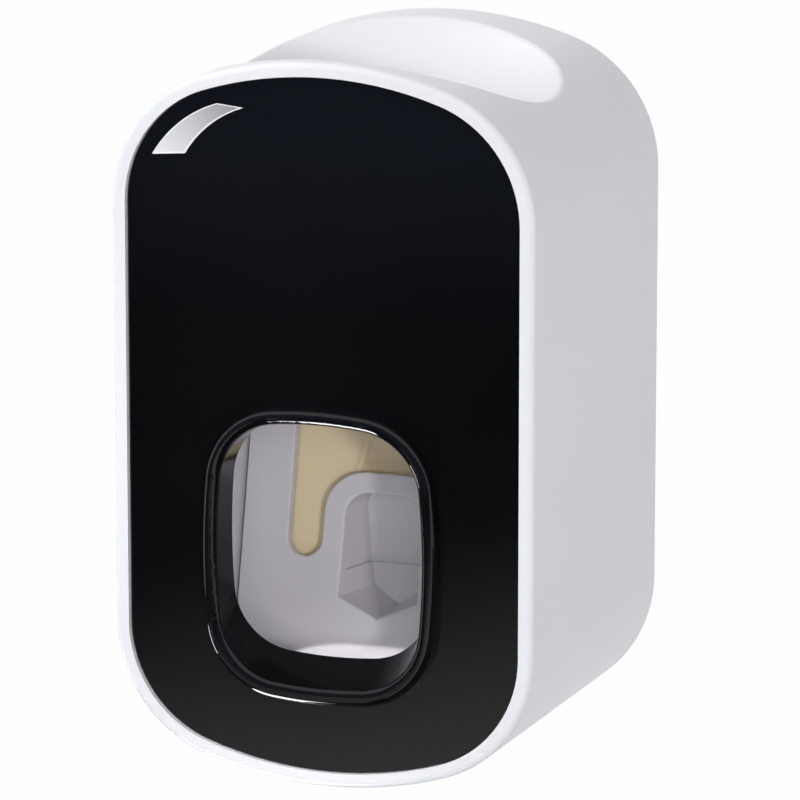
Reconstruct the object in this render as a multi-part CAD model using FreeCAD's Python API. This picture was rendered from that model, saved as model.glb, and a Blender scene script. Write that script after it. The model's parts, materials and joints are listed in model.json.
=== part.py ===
import FreeCAD, Part
import math
import os

# Wall-mounted toothpaste dispenser. A tube stands neck down in the dished top, a toothbrush head is
# pushed into the window, and the swinging pusher squeezes a silicone pump that doses the paste.
# Lengths are millimetres. Depths run back from the casing's front rim, heights up from its base.
# The origin is the centre of the pad's wall face: +X right, +Y into the wall, +Z up.

Vector = FreeCAD.Vector
RIGHT = Vector(1, 0, 0)
BACK = Vector(0, 1, 0)
UP = Vector(0, 0, 1)
DOWN = Vector(0, 0, -1)
SIDES = (-1, 1)

# Shared values
overrun = 2.0
edge_tolerance = 0.001
sharp_join = 2
thread_clearance = 0.02
running_clearance = 0.05

# Casing
casing_half_width = 30.5
casing_height = 100.0
casing_corner_radius = 18.8
casing_crown_radius = 56.0
casing_wall = 2.0
casing_back_wall = 2.2
casing_front_round = 0.9
casing_back_round = 2.0

# Dish in the casing's top, an ellipsoid whose centre floats above the casing
dish_offset = 3.3
dish_margin = 5.5
dish_rise = 4.0
dish_half_width = 35.8
dish_sink = 15.0
dish_rim_round = 0.8

# Tube port in the bottom of the dish
flange_radius = 13.0
flange_thickness = 1.6
flange_sink = 0.4
flange_clearance = 0.2
sleeve_radius = 10.7
sleeve_bore = 7.0
sleeve_mouth = 8.6
sleeve_mouth_depth = 2.4
sleeve_floor = 2.0
sleeve_outlet = 3.0
port_clearance = 0.3
port_floor = 2.2
port_boss_radius = 15.4
port_boss_height = 5.6

# Front panel
panel_recess = 0.7
panel_thickness = 2.0
panel_clearance = 0.15
panel_seat_clearance = 0.05
peg_radius = 1.5
peg_length = 6.0
peg_clearance = 0.1
peg_end_gap = 0.4
peg_inset = 4.4
peg_rise = 28.0
peg_drop = 26.0
peg_post_radius = 3.0
peg_post_floor = 0.8

# Window in the panel: its front edge, its back edge and the lip round it
window_half_width = 15.0
window_bottom = 13.8
window_top = 50.7
window_corner_radius = 9.0
window_crown_radius = 60.0
window_side_radius = 100.0
window_ramp = 3.6
window_taper = 0.3
lip_rise = 1.6
lip_width = 2.0
lip_round = 0.9
lip_inner_round = 1.0
collar_wall = 1.5
collar_length = 1.3

# Foil inlay at the panel's upper left corner
accent_outer_radius = 14.6
accent_outer_flat = 0.2
accent_outer_angles = (152.7, 128.0, 103.6)
accent_inner_radii = (10.8, 12.1, 13.8)
accent_inner_angles = (139.0, 111.3, 88.3)
accent_thickness = 0.35
accent_sink = 0.3
accent_clearance = 0.03

# Brush chamber
chamber_side_room = 7.2
chamber_wall = 1.5
chamber_base = 7.2
chamber_height = 50.8
chamber_corner_radius = 8.0
chamber_front_gap = 0.7
chamber_boss_radius = 3.2
ear_offset = 2.0
ear_radius = 2.6
ear_height = 12.0
ear_setback = 6.8
stop_width = 2.2
stop_thickness = 1.6
stop_height = 5.0
stop_gap = 0.3

# Hinge of the pusher
hinge_drop = 3.0
pin_radius = 1.25
pin_overhang = 2.3
pin_groove_radius = 0.95
pin_groove_width = 0.6
pin_groove_inset = 0.9
clip_radius = 2.5
clip_thickness = 0.5
clip_gap = 1.5
clip_clearance = 0.03

# Swing pusher
pusher_setback = 15.3
pusher_lean = 12.0
pusher_side_gap = 0.5
pusher_thickness = 1.6
pusher_corner_radius = 10.0
pusher_slot_width = 5.1
pusher_slot_bottom = 26.6
pusher_edge_round = 0.35
knuckle_radius = 2.7
scoop_radius = 6.0
scoop_height = 18.0
scoop_curl = 122.0
tab_margin = 0.8
tab_top = 39.0
tab_corner_radius = 6.0
pocket_half_width = 6.75
pocket_back_half_width = 4.9
pocket_floor_half_width = 3.6
pocket_top = 35.6
pocket_side_bottom = 21.3
pocket_vee = 18.7
pocket_corner_radius = 3.0
pocket_wall = 1.4
pocket_length = 10.4
pocket_groove_height = 24.6
pocket_groove_width = 0.5
pocket_groove_sink = 0.4
pocket_groove_start = 3.0
pusher_press_gap = 0.4

# Pump bladder
bladder_side_gap = 2.5
bladder_bottom = 20.0
bladder_headroom = 8.0
bladder_thickness = 12.9
bladder_wall = 1.8
bladder_round = 3.5
bladder_back_gap = 0.2
bladder_groove_half_width = 5.3
bladder_groove_sink = 1.0
bladder_groove_height = 18.0
neck_radius = 5.5
neck_gap = 0.5
band_radius = 6.3
band_height = 2.5
band_drop = 3.0

# Return spring inside the bladder
spring_radius = 6.0
spring_wire_radius = 0.5
spring_turns = 3
spring_end_gap = 0.3

# Pump head
lid_thickness = 1.6
duct_half_width = 6.0
duct_height = 4.4
duct_bore_half_width = 2.6
duct_bore_height = 2.4
duct_roof = 1.2
duct_end_wall = 3.0
duct_bore_margin = 0.4
tower_wall = 1.8
tower_clearance = 0.3
tower_floor = 2.0
gasket_thickness = 1.2
gasket_width = 1.5
spigot_radius = 3.6
spigot_bore = 2.2
spigot_length = 7.0
neck_clearance = 0.05

# Valves and nozzle
inlet_flange_thickness = 1.0
inlet_flange_clearance = 0.4
inlet_stem_radius = 2.8
inlet_stem_length = 3.2
inlet_stem_bore = 1.6
inlet_stem_clearance = 0.3
valve_slit = 0.4
nozzle_inset = 7.8
nozzle_boss_radius = 3.4
nozzle_boss_length = 4.0
nozzle_bore = 2.2
nozzle_wall = 1.4
nozzle_floor = 2.3
nozzle_mouth = 1.9
outlet_valve_thickness = 0.8

# Screws
head_screw_radius = 1.1
head_screw_length = 10.0
head_screw_head_radius = 2.2
head_screw_head_height = 1.4
head_screw_hole_clearance = 0.2
chamber_screw_radius = 1.2
chamber_screw_tip_wall = 0.4
chamber_screw_head_radius = 2.6
chamber_screw_head_height = 1.2
chamber_screw_head_clearance = 0.3
chamber_screw_sink = 0.1
chamber_screw_hole_clearance = 0.15
chamber_screw_inset = 4.0
chamber_screw_rise = 6.0
chamber_screw_gap = 1.2

# Wall plate and pad
mount_drop = 28.0
plate_half_width = 22.0
plate_half_height = 15.0
plate_thickness = 2.0
plate_corner_radius = 4.0
plate_clearance = 0.4
plate_gap = 0.3
pad_half_width = 20.0
pad_half_height = 13.0
pad_thickness = 1.0
pad_corner_radius = 3.0
stud_x = 13.0
stud_radius = 2.2
stud_head_radius = 4.2
stud_head_thickness = 1.5
stud_clearance = 0.3
stud_room = 0.3
lift_travel = 8.0

# The stack from the front rim to the wall, which gives the casing its depth
panel_back = panel_recess + panel_thickness
post_front = panel_back + panel_seat_clearance
collar_back = panel_back + collar_length
chamber_front = collar_back + chamber_front_gap
pusher_front = chamber_front + pusher_setback
pusher_back = pusher_front + pusher_thickness
pocket_back = pusher_front + pocket_length
bladder_front = pocket_back + pusher_press_gap
bladder_back = bladder_front + bladder_thickness
chamber_rear = bladder_back + bladder_back_gap
chamber_back = chamber_rear + chamber_wall
stud_head_front = chamber_back + stud_room
stud_head_back = stud_head_front + stud_head_thickness
recess_inner = stud_head_back + stud_clearance
recess_floor = recess_inner + casing_back_wall
recess_depth = plate_thickness + plate_gap
casing_depth = recess_floor + recess_depth
back_inner = casing_depth - casing_back_wall
plate_front = casing_depth - plate_thickness
dish_depth = casing_depth / 2 - dish_offset
dish_half_depth = casing_depth / 2 - dish_margin
spigot_depth = (bladder_front + bladder_back) / 2
nozzle_depth = chamber_front + nozzle_inset
ear_depths = (chamber_front + ear_setback, chamber_back - ear_setback)

# Places across
chamber_half_width = casing_half_width - casing_wall - chamber_side_room
chamber_outer = chamber_half_width + chamber_wall
ear_x = chamber_outer + ear_offset
peg_x = casing_half_width - peg_inset
pusher_half_width = chamber_half_width - pusher_side_gap
tab_half_width = pocket_half_width + pocket_wall + tab_margin
pusher_opening_half_width = tab_half_width + pusher_slot_width
bladder_half_width = chamber_half_width - bladder_side_gap
chamber_screw_x = chamber_half_width - chamber_screw_inset

# Heights
mount_height = casing_height - mount_drop
peg_heights = (peg_rise, casing_height - peg_drop)
chamber_floor = chamber_base + chamber_wall
chamber_top = chamber_base + chamber_height
hinge_height = chamber_top - hinge_drop
lid_top = chamber_top + lid_thickness
duct_top = lid_top + duct_height
duct_bore_top = duct_top - duct_roof
tower_bottom = duct_top + tower_floor
dish_bottom = casing_height + dish_rise - dish_sink
flange_bottom = dish_bottom - flange_sink
flange_top = flange_bottom + flange_thickness
port_boss_bottom = flange_bottom - port_floor
tower_top = port_boss_bottom - gasket_thickness
sleeve_bottom = tower_bottom + inlet_flange_thickness
nozzle_boss_bottom = chamber_top - nozzle_boss_length
nozzle_seat = nozzle_boss_bottom - outlet_valve_thickness
bladder_top = chamber_top - bladder_headroom
neck_top = chamber_top - neck_gap
recess_bottom = mount_height - plate_half_height - plate_clearance - lift_travel
recess_top = mount_height + plate_half_height + plate_clearance
upper_screw_drop = casing_back_wall + chamber_boss_radius + chamber_screw_gap
chamber_screw_heights = (chamber_base + chamber_screw_rise, recess_bottom - upper_screw_drop)

# The pusher's lean, which sets its hinge back
lean = math.radians(pusher_lean)
half_plate = pusher_thickness / 2
arm_length = (hinge_height - scoop_height + half_plate * math.sin(lean)) / math.cos(lean)
arm_top = scoop_height + arm_length
hinge_depth = pusher_front + arm_length * math.sin(lean) + half_plate * math.cos(lean)

# Radii that follow from a fit
tower_bore = sleeve_radius + tower_clearance
tower_radius = tower_bore + tower_wall
keyhole_radius = stud_radius + stud_clearance
entry_radius = stud_head_radius + plate_clearance

# The row's origin seen from the front rim and the base
front_y = -(casing_depth + pad_thickness)
base_z = -mount_height


def at(x, depth, height):
    """A point from its place across, behind the front rim and above the base."""
    return Vector(x, front_y + depth, base_z + height)


def block(x_range, depth_range, height_range):
    """A box between two places along each direction."""
    size = [high - low for low, high in (x_range, depth_range, height_range)]
    return Part.makeBox(size[0], size[1], size[2], at(x_range[0], depth_range[0], height_range[0]))


def rod(x, depth, height, radius, length, direction):
    """A round bar that starts at a place and runs along a direction."""
    return Part.makeCylinder(radius, length, at(x, depth, height), direction)


def slab(wire, length):
    """A flat outline carried straight back."""
    return Part.Face(wire).extrude(Vector(0, length, 0))


def ring(x, depth, bottom, radius, bore, height):
    """A tube that stands upright."""
    return rod(x, depth, bottom, radius, height, UP).cut(rod(x, depth, bottom, bore, height, UP))


def polygon(points):
    """A closed wire of straight runs."""
    return Part.makePolygon(points + points[:1])


def turned(depth, profile):
    """A closed profile of (radius, height) points, turned about the upright axis at a depth."""
    face = Part.Face(polygon([at(radius, depth, height) for radius, height in profile]))
    return face.revolve(at(0, depth, 0), UP, 360)


def front_edges(shape, depth):
    """The edges of a shape that lie flat at one depth."""
    place = front_y + depth
    low, high = place - edge_tolerance, place + edge_tolerance
    return [edge for edge in shape.Edges if edge.BoundBox.YMin > low and edge.BoundBox.YMax < high]


def top_corners(shape, length, top):
    """The edges that run back for a prism's length at its top height."""
    low = base_z + top - edge_tolerance
    return [edge for edge in shape.Edges if edge.BoundBox.YLength > length / 2 and edge.BoundBox.ZMin > low]


def crowned_wire(half_width, half_height, corner, crown, side, centre_height, depth):
    """A rectangle with crowned ends: straight or crowned sides, and corners tangent to both."""
    crown_centre = half_height - crown
    reach = crown - corner
    if side is None:
        centre_x = half_width - corner
        centre_z = crown_centre + math.sqrt(reach ** 2 - centre_x ** 2)
        side_join = (half_width, centre_z)
    else:
        side_centre = half_width - side
        side_reach = side - corner
        span = math.hypot(side_centre, crown_centre)
        along = (reach ** 2 - side_reach ** 2 + span ** 2) / (2 * span)
        across = math.sqrt(reach ** 2 - along ** 2)
        unit_x, unit_z = side_centre / span, -crown_centre / span
        centre_x = along * unit_x + across * unit_z
        centre_z = crown_centre + along * unit_z - across * unit_x
        side_scale = side / side_reach
        side_join = (side_centre + (centre_x - side_centre) * side_scale, centre_z * side_scale)
    crown_join = (centre_x * crown / reach, crown_centre + (centre_z - crown_centre) * crown / reach)
    mid_x = side_join[0] + crown_join[0] - 2 * centre_x
    mid_z = side_join[1] + crown_join[1] - 2 * centre_z
    mid_length = math.hypot(mid_x, mid_z)
    corner_mid = (centre_x + corner * mid_x / mid_length, centre_z + corner * mid_z / mid_length)

    def point(place, x_sign, z_sign):
        return at(x_sign * place[0], depth, centre_height + z_sign * place[1])

    def side_edge(x_sign):
        ends = point(side_join, x_sign, -x_sign), point(side_join, x_sign, x_sign)
        if side is None:
            return Part.LineSegment(*ends).toShape()
        return Part.Arc(ends[0], point((half_width, 0), x_sign, 1), ends[1]).toShape()

    def corner_edge(x_sign, z_sign, first, last):
        return Part.Arc(point(first, x_sign, z_sign), point(corner_mid, x_sign, z_sign),
                        point(last, x_sign, z_sign)).toShape()

    def crown_edge(z_sign):
        return Part.Arc(point(crown_join, z_sign, z_sign), point((0, half_height), 1, z_sign),
                        point(crown_join, -z_sign, z_sign)).toShape()

    return Part.Wire([side_edge(1), corner_edge(1, 1, side_join, crown_join), crown_edge(1),
                      corner_edge(-1, 1, crown_join, side_join), side_edge(-1),
                      corner_edge(-1, -1, side_join, crown_join), crown_edge(-1),
                      corner_edge(1, -1, crown_join, side_join)])


def casing_wire(inset, depth):
    """The casing's front outline, drawn in by an even inset."""
    return crowned_wire(casing_half_width - inset, casing_height / 2 - inset, casing_corner_radius - inset,
                        casing_crown_radius - inset, None, casing_height / 2, depth)


def window_wire(grow, depth, bottom_rise=0, taper=0):
    """The window's outline, grown by an even wall, with its bottom raised and its sides drawn in."""
    bottom = window_bottom + bottom_rise
    half_height = (window_top - bottom) / 2 + grow
    centre = (window_top + bottom) / 2
    return crowned_wire(window_half_width + grow - taper, half_height, window_corner_radius + grow,
                        window_crown_radius + grow, window_side_radius + grow, centre, depth)


def trough_wire(half_width, bottom, top, corner, depth):
    """An upright outline with a flat top and round bottom corners."""
    slant = corner * (1 - math.sqrt(0.5))
    right_start = at(half_width, depth, bottom + corner)
    right_end = at(half_width - corner, depth, bottom)
    left_start = at(-half_width + corner, depth, bottom)
    left_end = at(-half_width, depth, bottom + corner)
    top_left = at(-half_width, depth, top)
    top_right = at(half_width, depth, top)
    return Part.Wire([
        Part.LineSegment(top_right, right_start).toShape(),
        Part.Arc(right_start, at(half_width - slant, depth, bottom + slant), right_end).toShape(),
        Part.LineSegment(right_end, left_start).toShape(),
        Part.Arc(left_start, at(-half_width + slant, depth, bottom + slant), left_end).toShape(),
        Part.LineSegment(left_end, top_left).toShape(),
        Part.LineSegment(top_left, top_right).toShape()])


def rounded_plate(half_width, height_range, corner, depth, thickness):
    """A flat plate with four round corners."""
    plate = block((-half_width, half_width), (depth, depth + thickness), height_range)
    corners = [edge for edge in plate.Edges if edge.BoundBox.YLength > thickness / 2]
    return plate.makeFillet(corner, corners)


def dish_form(grow):
    """The dish's ellipsoid, grown by an even wall."""
    scale = FreeCAD.Matrix()
    scale.scale(Vector(dish_half_width + grow, dish_half_depth + grow, dish_sink + grow))
    form = Part.makeSphere(1).transformGeometry(scale)
    form.translate(at(0, dish_depth, casing_height + dish_rise))
    return form


def dish_rim(shape):
    """The edges where the dish's curved face meets the casing's outside."""
    rim = []
    for edge in shape.Edges:
        faces = shape.ancestorsOfType(edge, Part.Face)
        curved = [isinstance(face.Surface, Part.BSplineSurface) for face in faces]
        if sorted(curved) == [False, True]:
            rim.append(edge)
    return rim


def mirrored_places(x, heights):
    """The same heights left and right of the middle."""
    return [(side * x, height) for side in SIDES for height in heights]


def outer_casing():
    shell = slab(casing_wire(0, 0), casing_depth)
    shell = shell.makeFillet(casing_front_round, front_edges(shell, 0))
    shell = shell.makeFillet(casing_back_round, front_edges(shell, casing_depth))
    shell = shell.cut(dish_form(0))
    shell = shell.makeFillet(dish_rim_round, dish_rim(shell))
    recess_half_width = plate_half_width + plate_clearance
    bump_heights = (recess_bottom - casing_back_wall, recess_top + casing_back_wall)
    bump = rounded_plate(recess_half_width + casing_back_wall, bump_heights, plate_corner_radius,
                         recess_inner, casing_depth - recess_inner)
    post_length = peg_length + peg_end_gap + peg_post_floor
    posts = [rod(x, post_front, height, peg_post_radius, post_length, BACK)
             for x, height in mirrored_places(peg_x, peg_heights)]
    port_boss = rod(0, dish_depth, port_boss_bottom, port_boss_radius, port_boss_height, UP)
    kept = dish_form(casing_wall).fuse([bump, port_boss] + posts)
    hollow = slab(casing_wire(casing_wall, -overrun), back_inner + overrun).cut(kept)
    cuts = [slab(casing_wire(casing_wall, -overrun), post_front + overrun)]
    cuts.append(rod(0, dish_depth, flange_bottom, flange_radius + flange_clearance, dish_sink, UP))
    cuts.append(rod(0, dish_depth, port_boss_bottom - overrun, sleeve_radius + port_clearance, dish_sink, UP))
    cuts.append(rounded_plate(recess_half_width, (recess_bottom, recess_top), plate_corner_radius,
                              recess_floor, recess_depth + overrun))
    through = (recess_inner - overrun, recess_floor + overrun)
    reach = through[1] - through[0]
    for side in SIDES:
        x = side * stud_x
        cuts.append(rod(x, through[0], mount_height, keyhole_radius, reach, BACK))
        cuts.append(rod(x, through[0], mount_height - lift_travel, entry_radius, reach, BACK))
        cuts.append(block((x - keyhole_radius, x + keyhole_radius), through,
                          (mount_height - lift_travel, mount_height)))
    for x, height in mirrored_places(peg_x, peg_heights):
        cuts.append(rod(x, post_front - overrun, height, peg_radius + peg_clearance,
                        overrun + peg_length + peg_end_gap, BACK))
    counterbore = chamber_screw_head_height + chamber_screw_sink
    counterbore_radius = chamber_screw_head_radius + chamber_screw_head_clearance
    head_seat = casing_depth - counterbore
    for x, height in mirrored_places(chamber_screw_x, chamber_screw_heights):
        cuts.append(rod(x, back_inner - overrun, height, chamber_screw_radius + chamber_screw_hole_clearance,
                        casing_back_wall + 2 * overrun, BACK))
        cuts.append(rod(x, head_seat, height, counterbore_radius, counterbore + overrun, BACK))
    return shell.cut([hollow] + cuts)


def accent_wire(depth):
    """A band of two arcs that draw together towards its tip, placed from the casing's corner arc."""
    centre_x = casing_corner_radius - casing_half_width
    centre_z = casing_height / 2 + casing_crown_offset()

    def place(radius, angle):
        turn = math.radians(angle)
        return at(centre_x + radius * math.cos(turn), depth, centre_z + radius * math.sin(turn))

    outer_radii = (accent_outer_radius, accent_outer_radius - accent_outer_flat, accent_outer_radius)
    outer = [place(radius, angle) for radius, angle in zip(outer_radii, accent_outer_angles)]
    inner = [place(radius, angle) for radius, angle in zip(accent_inner_radii, accent_inner_angles)]
    return Part.Wire([Part.Arc(*outer).toShape(), Part.LineSegment(outer[2], inner[2]).toShape(),
                      Part.Arc(inner[2], inner[1], inner[0]).toShape(),
                      Part.LineSegment(inner[0], outer[0]).toShape()])


def casing_crown_offset():
    """How far the casing's upper corner arcs are centred above its middle."""
    reach = casing_crown_radius - casing_corner_radius
    across = casing_half_width - casing_corner_radius
    return casing_height / 2 - casing_crown_radius + math.sqrt(reach ** 2 - across ** 2)


def mouth_edges(shape):
    """The panel's edges at the front that lie on the window's own outline."""
    reach = window_half_width + edge_tolerance
    low, high = base_z + window_bottom - edge_tolerance, base_z + window_top + edge_tolerance
    boxes = [(edge, edge.BoundBox) for edge in front_edges(shape, -lip_rise)]
    return [edge for edge, box in boxes
            if -reach < box.XMin and box.XMax < reach and low < box.ZMin and box.ZMax < high]


def front_panel():
    plate = slab(casing_wire(casing_wall + panel_clearance, panel_recess), panel_thickness)
    lip = slab(window_wire(lip_width, -lip_rise), lip_rise + panel_back)
    collar = slab(window_wire(collar_wall, panel_back), collar_length)
    front = window_wire(0, -lip_rise)
    back = window_wire(0, collar_back, window_ramp, window_taper)
    opening = Part.makeLoft([front, back], True, True)
    panel = plate.fuse([lip, collar])
    panel = panel.makeFillet(lip_round, front_edges(panel, -lip_rise)).cut(opening)
    panel = panel.makeFillet(lip_inner_round, mouth_edges(panel))
    pegs = [rod(x, panel_back, height, peg_radius, peg_length, BACK)
            for x, height in mirrored_places(peg_x, peg_heights)]
    pocket_wire = accent_wire(panel_recess - overrun).makeOffset2D(accent_clearance, sharp_join)
    pocket = slab(pocket_wire, overrun + accent_sink)
    return panel.fuse(pegs).cut(pocket)


def corner_accent():
    return slab(accent_wire(panel_recess + accent_sink - accent_thickness), accent_thickness)


def plate_depth(height):
    """How deep the pusher's leaning face is at a height."""
    return pusher_front + (height - scoop_height) * math.tan(lean)


def brush_chamber():
    outer_wire = trough_wire(chamber_outer, chamber_base, chamber_top,
                             chamber_corner_radius + chamber_wall, chamber_front)
    inner_wire = trough_wire(chamber_half_width, chamber_floor, chamber_top + overrun,
                             chamber_corner_radius, chamber_front - overrun)
    outer = slab(outer_wire, chamber_back - chamber_front)
    inner = slab(inner_wire, chamber_rear - chamber_front + overrun)
    ears = [rod(side * ear_x, depth, chamber_top - ear_height, ear_radius, ear_height, UP)
            for side in SIDES for depth in ear_depths]
    bosses = [rod(x, chamber_back, height, chamber_boss_radius, back_inner - chamber_back, BACK)
              for x, height in mirrored_places(chamber_screw_x, chamber_screw_heights)]
    chamber = outer.fuse(ears + bosses).cut(inner)
    stop_top = hinge_height - knuckle_radius - stop_gap
    stop_heights = (stop_top - stop_height, stop_top)
    stop_back = plate_depth(stop_heights[0]) - stop_gap
    stop_depths = (stop_back - stop_thickness, stop_back)
    stop_ends = (chamber_half_width - stop_width, chamber_outer)
    stops = [block(stop_ends, stop_depths, stop_heights),
             block((-stop_ends[1], -stop_ends[0]), stop_depths, stop_heights)]
    half_reach = chamber_outer + overrun
    pin_hole = pin_radius + running_clearance
    cuts = [rod(-half_reach, hinge_depth, hinge_height, pin_hole, 2 * half_reach, RIGHT)]
    for side in SIDES:
        for depth in ear_depths:
            cuts.append(rod(side * ear_x, depth, lid_top - head_screw_length,
                            head_screw_radius + thread_clearance, head_screw_length, UP))
    tip = chamber_rear + chamber_screw_tip_wall
    for x, height in mirrored_places(chamber_screw_x, chamber_screw_heights):
        cuts.append(rod(x, tip, height, chamber_screw_radius + thread_clearance, back_inner - tip, BACK))
    return chamber.fuse(stops).cut(cuts)


def tilted(shape, angle):
    """A shape turned about the line where the pusher's plate meets its scoop."""
    result = shape.copy()
    result.rotate(at(0, pusher_front, scoop_height), RIGHT, angle)
    return result


def pocket_wire(top_half_width, side_half_width, grow, depth):
    """The brush pocket's outline at a depth, with a shallow vee for a floor."""
    top = pocket_top + grow
    return polygon([at(top_half_width + grow, depth, top), at(-top_half_width - grow, depth, top),
                    at(-side_half_width - grow, depth, pocket_side_bottom),
                    at(0, depth, pocket_vee - grow),
                    at(side_half_width + grow, depth, pocket_side_bottom)])


def pocket_form(grow, back):
    """The pocket carried back while it narrows, with its two upper corners rounded."""
    front = pusher_front - overrun
    wires = [pocket_wire(pocket_half_width, pocket_half_width, grow, front),
             pocket_wire(pocket_back_half_width, pocket_floor_half_width, grow, back)]
    form = Part.makeLoft(wires, True, True)
    return form.makeFillet(pocket_corner_radius + grow, top_corners(form, back - front, pocket_top + grow))


def pusher_sheet():
    """The pusher's plate before it leans, whose lower end curls forward into a scoop."""
    curl_depth = pusher_front - scoop_radius
    outer_radius = scoop_radius + pusher_thickness

    def place(depth, height):
        return at(-pusher_half_width, depth, height)

    def curl(radius, share):
        angle = math.radians(scoop_curl * share)
        return place(curl_depth + radius * math.cos(angle), scoop_height - radius * math.sin(angle))

    middle_share = 0.5
    wire = Part.Wire([
        Part.LineSegment(place(pusher_front, arm_top), place(pusher_front, scoop_height)).toShape(),
        Part.Arc(curl(scoop_radius, 0), curl(scoop_radius, middle_share), curl(scoop_radius, 1)).toShape(),
        Part.LineSegment(curl(scoop_radius, 1), curl(outer_radius, 1)).toShape(),
        Part.Arc(curl(outer_radius, 1), curl(outer_radius, middle_share), curl(outer_radius, 0)).toShape(),
        Part.LineSegment(place(pusher_back, scoop_height), place(pusher_back, arm_top)).toShape(),
        Part.LineSegment(place(pusher_back, arm_top), place(pusher_front, arm_top)).toShape()])
    sheet = Part.Face(wire).extrude(Vector(2 * pusher_half_width, 0, 0))
    front_view = slab(trough_wire(pusher_half_width, scoop_height - outer_radius, chamber_top,
                                  pusher_corner_radius, chamber_front), chamber_rear - chamber_front)
    return sheet.common(front_view)


def swing_pusher():
    depths = (pusher_front - overrun, pusher_back + overrun)
    reach = depths[1] - depths[0]
    slot_radius = (pusher_opening_half_width - tab_half_width) / 2
    slot_x = tab_half_width + slot_radius
    slot_height = pusher_slot_bottom + slot_radius
    tab = block((-tab_half_width, tab_half_width), depths, (chamber_base, tab_top))
    tab = tab.makeFillet(tab_corner_radius, top_corners(tab, reach, tab_top))
    opening = block((-pusher_opening_half_width, pusher_opening_half_width), depths,
                    (slot_height, chamber_top)).cut(tab)
    slot_ends = [rod(side * slot_x, depths[0], slot_height, slot_radius, reach, BACK) for side in SIDES]
    sheet = pusher_sheet().cut([opening] + slot_ends)
    hollow_back = pocket_back - pocket_wall
    plate_middle = pusher_front + half_plate
    in_front = block((-pusher_half_width, pusher_half_width), (0, plate_middle), (0, chamber_top))
    pocket = tilted(pocket_form(pocket_wall, pocket_back), pusher_lean).cut(in_front)
    hollow = pocket_form(0, hollow_back)
    groove = pocket_form(pocket_groove_sink, hollow_back + pocket_groove_sink)
    groove_heights = (pocket_groove_height, pocket_groove_height + pocket_groove_width)
    groove_depths = (pusher_front + pocket_groove_start, pocket_back)
    groove = groove.common(block((-pusher_half_width, pusher_half_width), groove_depths, groove_heights))
    sheet = sheet.fuse(pocket).cut([tilted(hollow, pusher_lean), tilted(groove, pusher_lean)])
    rim = [edge for edge in front_edges(sheet, pusher_front)
           if abs(edge.CenterOfMass.x) < pusher_opening_half_width + edge_tolerance
           and edge.BoundBox.ZMin > base_z + scoop_height + edge_tolerance]
    sheet = sheet.makeFillet(pusher_edge_round, rim)
    knuckle_start = pusher_opening_half_width + pusher_side_gap
    knuckle_length = pusher_half_width - knuckle_start
    knuckles = [rod(knuckle_start, plate_middle, arm_top, knuckle_radius, knuckle_length, RIGHT),
                rod(-pusher_half_width, plate_middle, arm_top, knuckle_radius, knuckle_length, RIGHT)]
    bore = rod(-pusher_half_width - overrun, plate_middle, arm_top, pin_radius + running_clearance,
               2 * (pusher_half_width + overrun), RIGHT)
    return tilted(sheet.fuse(knuckles).cut(bore), -pusher_lean)


def pin_end():
    """How far the hinge pin reaches to each side."""
    return chamber_outer + pin_overhang


def hinge_pin():
    pin = rod(-pin_end(), hinge_depth, hinge_height, pin_radius, 2 * pin_end(), RIGHT)
    for start in groove_starts():
        sleeve = rod(start, hinge_depth, hinge_height, pin_radius + overrun, pin_groove_width, RIGHT)
        core = rod(start, hinge_depth, hinge_height, pin_groove_radius, pin_groove_width, RIGHT)
        pin = pin.cut(sleeve.cut(core))
    return pin


def groove_starts():
    """Left edge of each clip groove on the pin."""
    start = pin_end() - pin_groove_inset - pin_groove_width
    return (start, -start - pin_groove_width)


def pin_clips():
    clips = []
    for start in groove_starts():
        left = start + (pin_groove_width - clip_thickness) / 2
        disc = rod(left, hinge_depth, hinge_height, clip_radius, clip_thickness, RIGHT)
        bore = rod(left, hinge_depth, hinge_height, pin_groove_radius + clip_clearance, clip_thickness, RIGHT)
        gap = block((left, left + clip_thickness), (hinge_depth - clip_gap / 2, hinge_depth + clip_gap / 2),
                    (hinge_height - clip_radius - overrun, hinge_height))
        clips.append(disc.cut([bore, gap]))
    return Part.makeCompound(clips)


def bladder_form(inset):
    """The bladder's soft-cornered body, drawn in by an even wall."""
    body = block((-bladder_half_width + inset, bladder_half_width - inset),
                 (bladder_front + inset, bladder_back - inset), (bladder_bottom + inset, bladder_top - inset))
    return body.makeFillet(bladder_round - inset, body.Edges)


def pump_bladder():
    groove = block((-bladder_groove_half_width, bladder_groove_half_width),
                   (bladder_front - overrun, bladder_front + bladder_groove_sink),
                   (bladder_top - bladder_groove_height, bladder_top + overrun))
    neck_bottom = bladder_top - bladder_wall
    neck = rod(0, spigot_depth, neck_bottom, neck_radius, neck_top - neck_bottom, UP)
    bore = rod(0, spigot_depth, neck_bottom - overrun, spigot_radius + neck_clearance,
               neck_top - neck_bottom + 2 * overrun, UP)
    return bladder_form(0).cut(groove).fuse(neck).cut([bladder_form(bladder_wall), bore])


def bladder_clip():
    return ring(0, spigot_depth, neck_top - band_drop - band_height, band_radius, neck_radius, band_height)


def spring_place(turn):
    """A point on the coil after so many turns from its front end."""
    front = bladder_front + bladder_wall + spring_end_gap + spring_wire_radius
    back = bladder_back - bladder_wall - spring_end_gap - spring_wire_radius
    angle = 2 * math.pi * turn
    middle = (bladder_bottom + bladder_top) / 2
    return at(spring_radius * math.cos(angle), front + (back - front) * turn / spring_turns,
              middle + spring_radius * math.sin(angle))


def spring_heading(turn):
    """The coil's direction after so many turns."""
    span = spring_place(spring_turns).y - spring_place(0).y
    angle = 2 * math.pi * turn
    heading = Vector(-spring_radius * math.sin(angle), span / spring_turns / (2 * math.pi),
                     spring_radius * math.cos(angle))
    return heading.normalize()


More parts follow.
